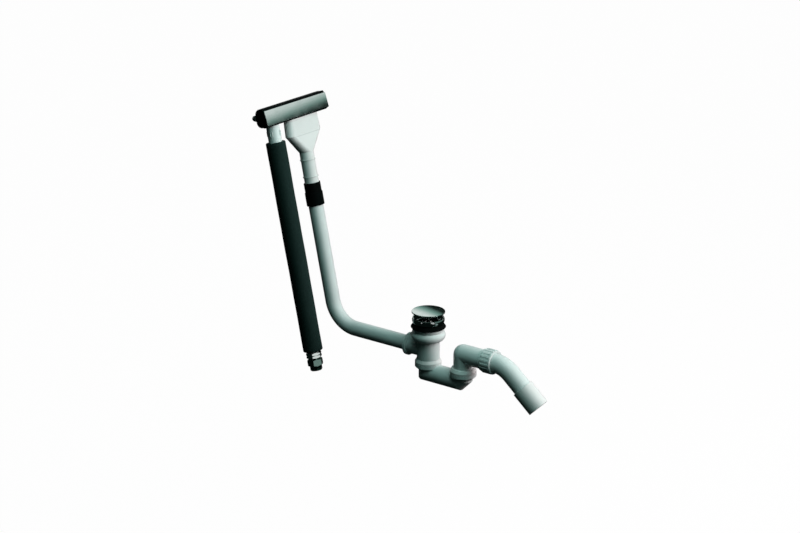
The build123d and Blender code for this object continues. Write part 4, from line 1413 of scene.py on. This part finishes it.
@dataclass(frozen=True)
class OutletRun:
    """The elbow, union nut, bend and sleeve that swivel on the trap."""

    nut_back: float = 57.5
    nut_shoulder: float = 74.0
    nut_front: float = 81.0
    nut_radius: float = 25.0
    nut_bore: float = 23.3
    nut_mouth: float = 20.3
    ribs: int = 18
    rib_root: float = 24.2
    rib_height: float = 0.7
    rib_width: float = 4.6
    rib_setback: float = 2.2
    rib_edge: float = 0.5
    pipe_radius: float = 20.0
    pipe_wall: float = 2.2
    bend_start: Point = (160.0, 0.0, -48.8)
    bend_corner: Point = (192.0, 0.0, -48.8)
    bend_end: Point = (251.397, 8.267, -107.619)
    bend_radius: float = 60.0
    collar_radii: Span = (19.0, 22.8)
    collar_depth: float = 4.0
    sleeve_radius: float = 23.05
    sleeve_bore: float = 20.2
    sleeve_ends: Span = (-24.0, 28.0)
    mouth_radius: float = 21.2
    mouth_depth: float = 1.0
    stop_bore: float = 17.9
    stop_ends: Span = (1.0, 3.0)

    def nut(self, recipes: Recipes) -> None:
        """Build the union nut with its row of ribs.

        Args:
            recipes: The recipes that the sub-assemblies share.
        """
        outline = corners(
            (self.nut_bore, self.nut_back, 0.3),
            (self.nut_radius, self.nut_back, 0.6),
            (self.nut_radius, self.nut_front, 1.2),
            (self.nut_mouth, self.nut_front, 0.6),
            (self.nut_mouth, self.nut_shoulder, 0.2),
            (self.nut_bore, self.nut_shoulder, 0.2),
        )
        half = self.rib_width / 2
        depth = (self.rib_root, self.nut_radius + self.rib_height)
        shape = oblong(depth, (-half, half), (0.0, 0.6, 0.6, 0.0))
        front = self.nut_front - self.rib_setback
        rib = Shell("rib").prism(WASTE, shape, self.nut_back, front, self.rib_edge).data()
        shell = Shell("union").lathe(ELBOW_RUN, outline)
        shell.add(recipes.row.around(rib, GREY, self.ribs), ELBOW_RUN)
        shell.piece(GREY, Body.OUTLET, Slot.GREY_PLASTIC, "union_nut")

    def bend(self, recipes: Recipes) -> None:
        """Build the bend with its union collar.

        Args:
            recipes: The recipes that the sub-assemblies share.
        """
        route = (self.bend_start, self.bend_corner, self.bend_end)
        pipe = recipes.pipe.sweep(GREY, route, self.bend_radius, self.pipe_radius, self.pipe_wall)
        ends = (self.nut_shoulder - self.collar_depth, self.nut_shoulder)
        collar = oblong(self.collar_radii, ends, (0.3, 0.4, 0.4, 0.3))
        shell = Shell("bend").add(pipe).lathe(ELBOW_RUN, collar)
        shell.piece(GREY, Body.OUTLET, Slot.GREY_PLASTIC, "outlet_bend")

    def sleeve(self) -> None:
        """Build the plain sleeve on the end of the bend, with a stop inside it."""
        leg = Vector(self.bend_end) - Vector(self.bend_corner)
        place = Place(self.bend_end, tuple(leg), (0.0, 1.0, 0.0))
        back, front = self.sleeve_ends
        low, high = self.stop_ends
        outline = corners(
            (self.sleeve_bore, back, 0.3),
            (self.sleeve_radius, back, 0.9),
            (self.sleeve_radius, front, 0.7),
            (self.mouth_radius, front, 0.3),
            (self.sleeve_bore, front - self.mouth_depth, 0.3),
            (self.sleeve_bore, high, 0.2),
            (self.stop_bore, high, 0.2),
            (self.stop_bore, low, 0.2),
            (self.sleeve_bore, low, 0.2),
        )
        shell = Shell("sleeve").lathe(place, outline)
        shell.piece(PALE, Body.OUTLET, Slot.WHITE_PLASTIC, "outlet_sleeve")

    def build(self, recipes: Recipes) -> None:
        """Build the pieces and dress the elbow and seal.

        Args:
            recipes: The recipes that the sub-assemblies share.
        """
        self.nut(recipes)
        self.bend(recipes)
        self.sleeve()
        dress(GREY, "outlet_elbow")
        dress(RUBBER, "union_seal")


@dataclass(frozen=True)
class OverflowRun:
    """The bent pipe, its rubber coupling and the flat funnel."""

    pipe_radius: float = 16.0
    pipe_wall: float = 2.0
    pipe_start: float = -27.3
    riser_length: float = 289.0
    bend_radius: float = 64.0
    coupling_radius: float = 17.8
    coupling_bore: float = 16.1
    coupling_ends: Span = (263.0, 312.0)
    spigot_bore: float = 15.35
    stop_bore: float = 13.05
    stop_depth: float = 2.0
    ring_radii: Span = (17.9, 19.1)

    def pipe(self, recipes: Recipes) -> None:
        """Build the bent pipe.

        Args:
            recipes: The recipes that the sub-assemblies share.
        """
        route = (
            (self.pipe_start, 0.0, RISER.origin[2]),
            RISER.origin,
            RISER.moved(z=self.riser_length).origin,
        )
        mesh = recipes.pipe.sweep(GREY, route, self.bend_radius, self.pipe_radius, self.pipe_wall)
        Shell("pipe").add(mesh).piece(GREY, Body.BASE, Slot.GREY_PLASTIC, "overflow_pipe")

    def coupling(self) -> None:
        """Build the rubber coupling, with a stop inside it, and the ring round its lower half."""
        bottom, top = self.coupling_ends
        low, high = self.riser_length, self.riser_length + self.stop_depth
        outline = corners(
            (self.coupling_bore, bottom, 0.2),
            (self.coupling_radius, bottom, 0.4),
            (self.coupling_radius, top, 0.8),
            (self.spigot_bore, top, 0.3),
            (self.spigot_bore, high),
            (self.stop_bore, high),
            (self.stop_bore, low),
            (self.coupling_bore, low),
        )
        shell = Shell("coupling").lathe(RISER, outline)
        shell.piece(RUBBER, Body.BASE, Slot.BLACK_RUBBER, "coupling_sleeve")
        ring = oblong(self.ring_radii, (bottom, high), (0.2, 0.7, 0.7, 0.2))
        shell = Shell("coupling_band").lathe(RISER, ring)
        shell.piece(BLACK, Body.BASE, Slot.BLACK_PLASTIC, "coupling_ring")

    def build(self, recipes: Recipes) -> None:
        """Build the pieces and dress the funnel and its seal.

        Args:
            recipes: The recipes that the sub-assemblies share.
        """
        self.pipe(recipes)
        self.coupling()
        dress(PALE, "overflow_funnel")
        dress(RUBBER, "funnel_seal")


@dataclass(frozen=True)
class OverflowHead:
    """The housing behind the bath wall, its carrier, the chrome bar and the clamp bolts."""

    length: float = 199.0
    bar_height: float = 32.0
    bar_thickness: float = 2.5
    bar_tilt: float = 8.0
    bar_back: Point = (17.5, 0.0, 20.0)
    bar_corner: float = 0.8
    bar_edge: float = 0.7
    bolt_place: float = 87.5
    bolt_level: float = 20.0
    bolt_radius: float = 4.0
    bolt_end: float = -22.6
    head_radius: float = 6.5
    head_ends: Span = (14.0, 16.0)
    washer_radii: Span = (4.3, 8.0)
    washer_ends: Span = (-12.6, -11.0)
    nut_bore: float = 4.1
    nut_flats: float = 13.0
    nut_ends: Span = (-19.1, -12.6)
    cap_radius: float = 6.2
    cap_start: float = -18.0
    cap_floor: float = -22.9
    dome_level: float = -21.4
    dome_step: int = 10

    def bar(self) -> None:
        """Build the chrome bar with its broken edges."""
        tilt = radians(self.bar_tilt)
        place = HEAD.moved(*self.bar_back).turned((cos(tilt), 0.0, sin(tilt)), (0.0, 1.0, 0.0))
        x, y = self.length / 2, self.bar_height / 2
        outline = oblong((-x, x), (-y, y), [self.bar_corner] * 4)
        shell = Shell("bar").prism(place, outline, 0.0, self.bar_thickness, self.bar_edge)
        shell.piece(BAR_CHROME, Body.BASE, Slot.CHROME_BAR, "cover_plate")

    def bolt(self) -> Shell:
        """Return one round-headed bolt on its axis.

        Returns:
            The bolt's shell.
        """
        under, over = self.head_ends
        outline = corners(
            (0.0, self.bolt_end),
            (self.bolt_radius, self.bolt_end, 0.6),
            (self.bolt_radius, under, 0.2),
            (self.head_radius, under, 0.3),
            (self.head_radius, over, 0.9),
            (0.0, over),
        )
        return Shell("bolt").lathe(WASTE, outline, BOLT_SEGMENTS)

    def washer(self) -> Shell:
        """Return one washer on its bolt's axis."""
        outline = oblong(self.washer_radii, self.washer_ends, (0.2, 0.4, 0.4, 0.2))
        return Shell("washer").lathe(WASTE, outline)

    def nut(self) -> Shell:
        """Return one hexagon nut with its domed cap on its bolt's axis.

        Returns:
            The nut's shell.
        """
        turns = [radians(turn) for turn in range(0, 90, self.dome_step)]
        reach, level = self.cap_radius, self.dome_level
        outline = corners(
            (0.0, self.cap_floor),
            (self.nut_bore, self.cap_floor),
            (self.nut_bore, self.cap_start),
            (reach, self.cap_start),
            *[(reach * cos(turn), level - reach * sin(turn)) for turn in turns],
            (0.0, level - reach),
        )
        shell = Shell("nut").lathe(WASTE, outline, BOLT_SEGMENTS)
        return shell.hexagon(WASTE, self.nut_flats, *self.nut_ends, self.nut_bore)

    def bolts(self, recipes: Recipes) -> None:
        """Build the two bolts with their washers and cap nuts.

        Args:
            recipes: The recipes that the sub-assemblies share.
        """
        place = HEAD.turned((1.0, 0.0, 0.0), (0.0, 1.0, 0.0))
        first = (-self.bolt_place * MM, self.bolt_level * MM, 0.0)
        step = (2 * self.bolt_place * MM, 0.0, 0.0)
        for name, node, one in (
            ("bolts", "clamp_bolts", self.bolt()),
            ("washers", "clamp_washers", self.washer()),
            ("nuts", "clamp_nuts", self.nut()),
        ):
            pair = recipes.row.line(one.data(), STEEL, 2, first, step)
            Shell(name).add(pair, place).piece(STEEL, Body.BASE, Slot.STEEL, node)

    def build(self, recipes: Recipes) -> None:
        """Build the pieces and dress the black mouldings.

        Args:
            recipes: The recipes that the sub-assemblies share.
        """
        self.bar()
        self.bolts(recipes)
        dress(BLACK, "head_housing", "cover_carrier")
        dress(RUBBER, "wall_gasket")


@dataclass(frozen=True)
class FillerSupply:
    """The stub, foam-covered tube, nut and threaded fitting that feed the filler."""

    tube_bore: float = 11.1
    stub_radius: float = 14.0
    stub_overlap: float = 25.0
    stub_height: float = 36.0
    spigot_radius: float = 7.5
    spigot_length: float = 16.0
    groove_radius: float = 6.2
    groove_ends: Span = (4.7, 7.3)
    port_radius: float = 4.6
    port_depth: float = 10.0
    lugs: int = 4
    lug_size: Span = (13.0, 6.0)
    lug_level: float = 18.0
    lug_turn: float = -70.0
    lug_points: int = 64
    lug_insets: tuple[float, ...] = (0.0, 0.0, 0.4, 1.1, 1.5, 1.5)
    lug_heights: tuple[float, ...] = (12.5, 14.6, 15.0, 15.0, 14.6, 12.5)
    foam_radius: float = 21.0
    foam_bottom: float = -33.5
    foam_top: float = 419.5
    foam_rows: int = 90
    foam_ends: Span = (18.5, 20.2)
    foam_ease: Span = (0.5, 2.0)
    foam_mouth: float = 14.1
    mouth_depth: float = 25.3
    dent_depth: float = 0.22
    dent_pace: Span = (0.043, 0.019)
    dent_sway: float = 1.3
    dent_twist: float = 2.0
    flats: float = 30.0
    nut_levels: Point = (-15.0, -9.0, -3.0)
    nut_bores: Span = (12.8, 11.2)
    fitting_bore: float = 8.5
    fitting_end: float = -43.0
    collar_radius: float = 14.0
    collar_ends: Span = (-31.0, -18.2)
    socket_radii: Span = (11.2, 12.5)
    socket_ends: Span = (-25.0, -12.4)
    hexagon_bore: float = 11.3
    hexagon_ends: Span = (-32.0, -18.0)
    thread_radius: float = 13.2
    thread_depth: float = 1.16
    thread_pitch: float = 1.814
    thread_start: float = -41.8
    thread_length: float = 9.2
    thread_sides: int = 4

    def lug(self) -> bpy.types.Mesh:
        """Return one oval lug on the stub's side.

        Returns:
            The lug as a mesh in metres.
        """
        centre = (0.0, 0.0, self.foam_top + self.lug_level)
        matrix = Place(centre, (1.0, 0.0, 0.0), (0.0, 1.0, 0.0)).matrix()
        width, depth = self.lug_size
        loops = []
        for inset, height in zip(self.lug_insets, self.lug_heights):
            ring = slot_outline(width - 2 * inset, depth - 2 * inset, self.lug_points)
            loops.append([matrix @ Vector((point.x, point.y, height)) for point in ring])
        return Shell("lug").skin(loops, closed=True).data()

    def stub(self, recipes: Recipes) -> None:
        """Build the stub with its grooved spigot and its lugs.

        Args:
            recipes: The recipes that the sub-assemblies share.
        """
        bottom, top = self.foam_top - self.stub_overlap, self.foam_top + self.stub_height
        low, high = self.groove_ends
        outline = corners(
            (self.tube_bore, bottom, 0.3),
            (self.stub_radius, bottom, 0.5),
            (self.stub_radius, top, 0.5),
            (self.spigot_radius, top, 0.3),
            (self.spigot_radius, top + low),
            (self.groove_radius, top + low),
            (self.groove_radius, top + high),
            (self.spigot_radius, top + high),
            (self.spigot_radius, top + self.spigot_length, 0.6),
            (self.port_radius, top + self.spigot_length, 0.3),
            (self.port_radius, top - self.port_depth),
            (self.tube_bore, top - self.port_depth),
        )
        shell = Shell("stub").lathe(SUPPLY, outline)
        shell.add(recipes.row.around(self.lug(), WHITE, self.lugs, self.lug_turn), SUPPLY)
        shell.piece(WHITE, Body.BASE, Slot.WHITE_PLASTIC, "inlet_stub")

    def dented(self, angle: float, radius: float, height: float) -> float:
        """Return a radius of the foam with shallow dents round the outside.

        Args:
            angle: The angle round the axis.
            radius: The plain radius.
            height: The height along the axis.

        Returns:
            The true radius.
        """
        if radius < self.foam_ends[0]:
            return radius
        quick, slow = self.dent_pace
        wave = sin(height * quick + self.dent_sway * sin(angle))
        wave *= sin(height * slow + self.dent_twist * angle)
        return radius - self.dent_depth * (1 + wave)

    def foam(self) -> None:
        """Build the foam sleeve, soft at its ends and a little uneven along its length."""
        bottom, top = self.foam_bottom, self.foam_top
        face, edge = self.foam_ends
        drop, ease = self.foam_ease
        length = top - bottom - 2 * ease
        steps = range(self.foam_rows + 1)
        outline = corners(
            (self.tube_bore, bottom, 0.5),
            (face, bottom),
            (edge, bottom + drop),
            *[(self.foam_radius, bottom + ease + length * step / self.foam_rows) for step in steps],
            (edge, top - drop),
            (face, top),
            (self.foam_mouth, top, 0.5),
            (self.foam_mouth, top - self.mouth_depth),
            (self.tube_bore, top - self.mouth_depth),
        )
        shell = Shell("foam").lathe(SUPPLY, outline, radial=self.dented)
        made = shell.piece(FOAM, Body.BASE, Slot.BLACK_FOAM, "insulation_sleeve")

    def nut(self) -> None:
        """Build the hexagon nut, whose bore narrows halfway."""
        place = SUPPLY.moved(z=self.foam_bottom)
        shell = Shell("joint_nut")
        for bottom, top, bore in zip(self.nut_levels, self.nut_levels[1:], self.nut_bores):
            shell.hexagon(place, self.flats, bottom, top, bore)
        shell.piece(PLATED, Body.BASE, Slot.PLATED_BRASS, "supply_nut")

    def fitting(self, recipes: Recipes) -> None:
        """Build the hexagon fitting with its male thread.

        Args:
            recipes: The recipes that the sub-assemblies share.
        """
        place = SUPPLY.moved(z=self.foam_bottom)
        root = self.thread_radius - self.thread_depth
        low, high = self.collar_ends
        bore, socket = self.socket_radii
        seat, mouth = self.socket_ends
        outline = corners(
            (self.fitting_bore, self.fitting_end, 0.3),
            (root, self.fitting_end, 0.8),
            (root, low),
            (self.collar_radius, low),
            (self.collar_radius, high),
            (socket, high),
            (socket, mouth, 0.3),
            (bore, mouth),
            (bore, seat),
            (self.fitting_bore, seat),
        )
        turns = self.thread_length / self.thread_pitch
        thread = recipes.helix.sweep(
            SHADED_PLATED, root, self.thread_length, turns, self.thread_depth, self.thread_sides
        )
        shell = Shell("fitting").lathe(place, outline)
        shell.hexagon(place, self.flats, *self.hexagon_ends, self.hexagon_bore)
        shell.add(thread, place.moved(z=self.thread_start))
        shell.piece(SHADED_PLATED, Body.BASE, Slot.PLATED_BRASS, "inlet_fitting")

    def build(self, recipes: Recipes) -> None:
        """Build the pieces and dress the tube and the hidden rings.

        Args:
            recipes: The recipes that the sub-assemblies share.
        """
        self.stub(recipes)
        self.foam()
        self.nut()
        self.fitting(recipes)
        dress(WHITE, "supply_tube")
        dress(BRASS, "compression_ring")
        dress(RUBBER, "inlet_seal")


@dataclass(frozen=True)
class Card:
    """A card that reflections see: a dark flag, or one whose shade grows along its slope.

    The shade is the brightness at the centre, and the slope is its growth per metre of each axis.
    """

    name: str
    centre: Point
    normal: Point
    size: Span
    shade: float = 0.0
    slope: Point = (0.0, 0.0, 0.0)


@dataclass(frozen=True)
class Lamp:
    """A soft square lamp, with its place and size in metres and its power in watts."""

    name: str
    place: Point
    aim: Point
    size: float
    power: float
    tint: Point


CARD_STOPS = (
    (0.0, (0.004, 0.008, 0.007, 1)),
    (0.45, (0.25, 0.42, 0.37, 1)),
    (1.0, (0.95, 0.97, 0.96, 1)),
)
CARDS = (
    Card("camera_side_flag", (2.4, -3.16, 1.37), (-2.4, 3.16, -1.37), (9.0, 7.0)),
    Card("left_flag", (-2.9, -2.1, 0.5), (2.9, 2.1, -0.5), (6.0, 6.0)),
    Card("under_flag", (0.0, 0.0, -0.4), (0.0, 0.0, 1.0), (10.0, 10.0)),
    Card("right_card", (3.4, 2.4, 1.4), (-3.4, -2.4, -1.4), (6.0, 6.0), shade=0.3),
    Card("back_flag", (-2.2, 2.9, 1.0), (2.2, -2.9, -1.0), (7.0, 6.0)),
    Card("top_card", (0.0, 0.0, 3.6), (0.0, 0.0, -1.0), (8.0, 8.0), shade=0.42),
    Card(
        "lid_card",
        (-0.713, 0.965, 0.468),
        (0.594, -0.804, 0.0),
        (0.9, 0.7),
        shade=0.4,
        slope=(-6.2, -4.7, 4.2),
    ),
    Card(
        "bar_card",
        (-0.026, 0.303, 0.5),
        (-0.648, -0.752, -0.114),
        (0.6, 0.5),
        shade=0.32,
        slope=(0.0, 8.5, 40.0),
    ),
    Card("flange_card", (2.02, -0.88, 0.3), (-2.02, 0.88, -0.3), (0.9, 0.9), shade=1.0),
    Card("nut_card", (1.34, -0.43, -0.15), (-1.56, 0.33, 0.05), (0.35, 0.35), shade=1.0),
)
LAMPS = (
    Lamp("key", (1.21, 0.75, 0.715), (0.0, 0.0, 0.0), 1.2, 30.5, (1.0, 0.95, 0.96)),
    Lamp("fill", (1.05, -0.35, 1.3), (0.0, 0.0, 0.0), 0.9, 7.0, (0.55, 1.0, 0.93)),
    Lamp("top", (0.25, -0.15, 1.1), (0.1, 0.0, -0.1), 0.8, 4.2, (0.6, 1.0, 0.94)),
)


@dataclass(frozen=True)
class Studio:
    """The pale floor, the soft lamps, the cards that metal reflects, and the camera."""

    eye: Point = (2.5725, -3.4813, 1.6211)
    right: Point = (0.7961, 0.6052, 0.0)
    upward: Point = (-0.1979, 0.2603, 0.9450)
    lens: float = 100.0
    sensor: float = 36.0
    across: Point = (0.3, 0.95, 0.02)
    floor_level: float = -0.42
    floor_size: Span = (60.0, 60.0)
    floor_colour: Colour = (0.8, 0.8, 0.8, 1)
    floor_white: float = 0.985
    white: Colour = (1, 1, 1, 1)
    air: Colour = (0.25, 1.0, 0.86, 1)
    air_level: float = 0.025

    def camera(self) -> None:
        """Set the camera at the photograph's viewing angle."""
        data = bpy.data.cameras.new("camera")
        data.lens = self.lens
        data.sensor_width = self.sensor
        x, y = Vector(self.right).normalized(), Vector(self.upward).normalized()
        turn = Matrix((x, y, x.cross(y))).transposed().to_4x4()
        made = bpy.data.objects.new("camera", data)
        made.matrix_world = Matrix.Translation(self.eye) @ turn
        bpy.context.scene.collection.objects.link(made)
        bpy.context.scene.camera = made

    def plane(self, name: str, centre: Point, normal: Point, size: Span) -> bpy.types.Object:
        """Return a stage rectangle that faces along normal.

        Args:
            name: The rectangle's name.
            centre: Its centre.
            normal: The direction that it faces.
            size: Its width and height.

        Returns:
            The rectangle's object.
        """
        x, y, _ = Place(along=normal, across=self.across).axes()
        x, y = x * size[0] / 2, y * size[1] / 2
        sides = ((-1, -1), (1, -1), (1, 1), (-1, 1))
        data = bpy.data.meshes.new(name)
        data.from_pydata([Vector(centre) + x * a + y * b for a, b in sides], [], [(0, 1, 2, 3)])
        made = bpy.data.objects.new(name, data)
        bpy.context.scene.collection.objects.link(made)
        return made

    @staticmethod
    def viewed(wiring: Wiring) -> Signal:
        """Return 1 for a ray from the camera, a mirror or glass, and 0 for others.

        Args:
            wiring: The wiring of the floor's or the world's tree.

        Returns:
            The sum of the three kinds of ray.
        """
        path = wiring.node("ShaderNodeLightPath")
        names = ("Is Camera Ray", "Is Glossy Ray", "Is Transmission Ray")
        first, second, third = (Signal(wiring, path.outputs[name]) for name in names)
        return first + second + third

    def floor(self) -> None:
        """Lay a pale floor that the camera sees as white, with the object's soft shadow on it."""
        made = self.plane("floor", (0.0, 0.0, self.floor_level), (0.0, 0.0, 1.0), self.floor_size)
        material = bpy.data.materials.new("pale_floor")
        wiring = blank(material)
        share = self.viewed(wiring) * self.floor_white
        matt = wiring.signal("ShaderNodeBsdfDiffuse", inputs={"Color": self.floor_colour})
        glow = wiring.signal("ShaderNodeEmission", inputs={"Color": self.white, "Strength": 1.0})
        mixed = wiring.signal("ShaderNodeMixShader", inputs={0: share, 1: matt, 2: glow})
        wiring.node("ShaderNodeOutputMaterial", inputs={"Surface": mixed})
        made.data.materials.append(material)

    def world(self) -> None:
        """Set a soft even world that the camera sees as white."""
        world = bpy.data.worlds.new("studio")
        wiring = blank(world)
        seen = self.viewed(wiring)
        soft, white = (
            wiring.signal("ShaderNodeBackground", inputs={"Color": colour, "Strength": strength})
            for colour, strength in ((self.air, self.air_level), (self.white, 1.0))
        )
        mixed = wiring.signal("ShaderNodeMixShader", inputs={0: seen, 1: soft, 2: white})
        wiring.node("ShaderNodeOutputWorld", inputs={"Surface": mixed})
        bpy.context.scene.world = world

    def card(self, card: Card) -> None:
        """Hang a card, hidden from the camera and, unless it is a dark flag, from diffuse rays.

        Args:
            card: The card.
        """
        made = self.plane(card.name, card.centre, card.normal, card.size)
        material = bpy.data.materials.new(card.name)
        wiring = blank(material)
        place = wiring.signal("ShaderNodeTexCoord", output="Object")
        rise = wiring.signal(
            "ShaderNodeVectorMath", {"operation": "DOT_PRODUCT"}, {0: place, 1: card.slope}, "Value"
        )
        start = card.shade - Vector(card.slope).dot(Vector(card.centre))
        colour = wiring.signal("ShaderNodeValToRGB", {"stops": CARD_STOPS}, {"Fac": rise + start})
        glow = wiring.signal("ShaderNodeEmission", inputs={"Color": colour})
        wiring.node("ShaderNodeOutputMaterial", inputs={"Surface": glow})
        made.data.materials.append(material)
        made.visible_camera = False
        made.visible_shadow = False
        made.visible_diffuse = card.shade == 0.0

    def lamp(self, lamp: Lamp) -> None:
        """Hang a lamp, which no reflection shows.

        Args:
            lamp: The lamp.
        """
        data = bpy.data.lights.new(lamp.name, "AREA")
        data.size = lamp.size
        data.energy = lamp.power
        data.color = lamp.tint
        made = bpy.data.objects.new(lamp.name, data)
        made.location = lamp.place
        aim = Vector(lamp.aim) - Vector(lamp.place)
        made.rotation_euler = aim.to_track_quat("-Z", "Y").to_euler()
        made.visible_glossy = False
        bpy.context.scene.collection.objects.link(made)

    def build(self) -> None:
        """Set up the whole studio."""
        bpy.context.scene.view_settings.view_transform = "Standard"
        self.camera()
        self.floor()
        self.world()
        for card in CARDS:
            self.card(card)
        for lamp in LAMPS:
            self.lamp(lamp)


def main() -> None:
    """Build every sub-assembly in order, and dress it."""
    logging.basicConfig(level=logging.INFO, format="%(name)s %(message)s")
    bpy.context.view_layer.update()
    Studio().build()
    recipes = Recipes(RowRecipe(), HelixRecipe(), PipeRecipe())
    BathOutlet().build(recipes)
    WasteAndTrap().build()
    OutletRun().build(recipes)
    OverflowRun().build(recipes)
    OverflowHead().build(recipes)
    FillerSupply().build(recipes)


if __name__ == "__main__":
    main()
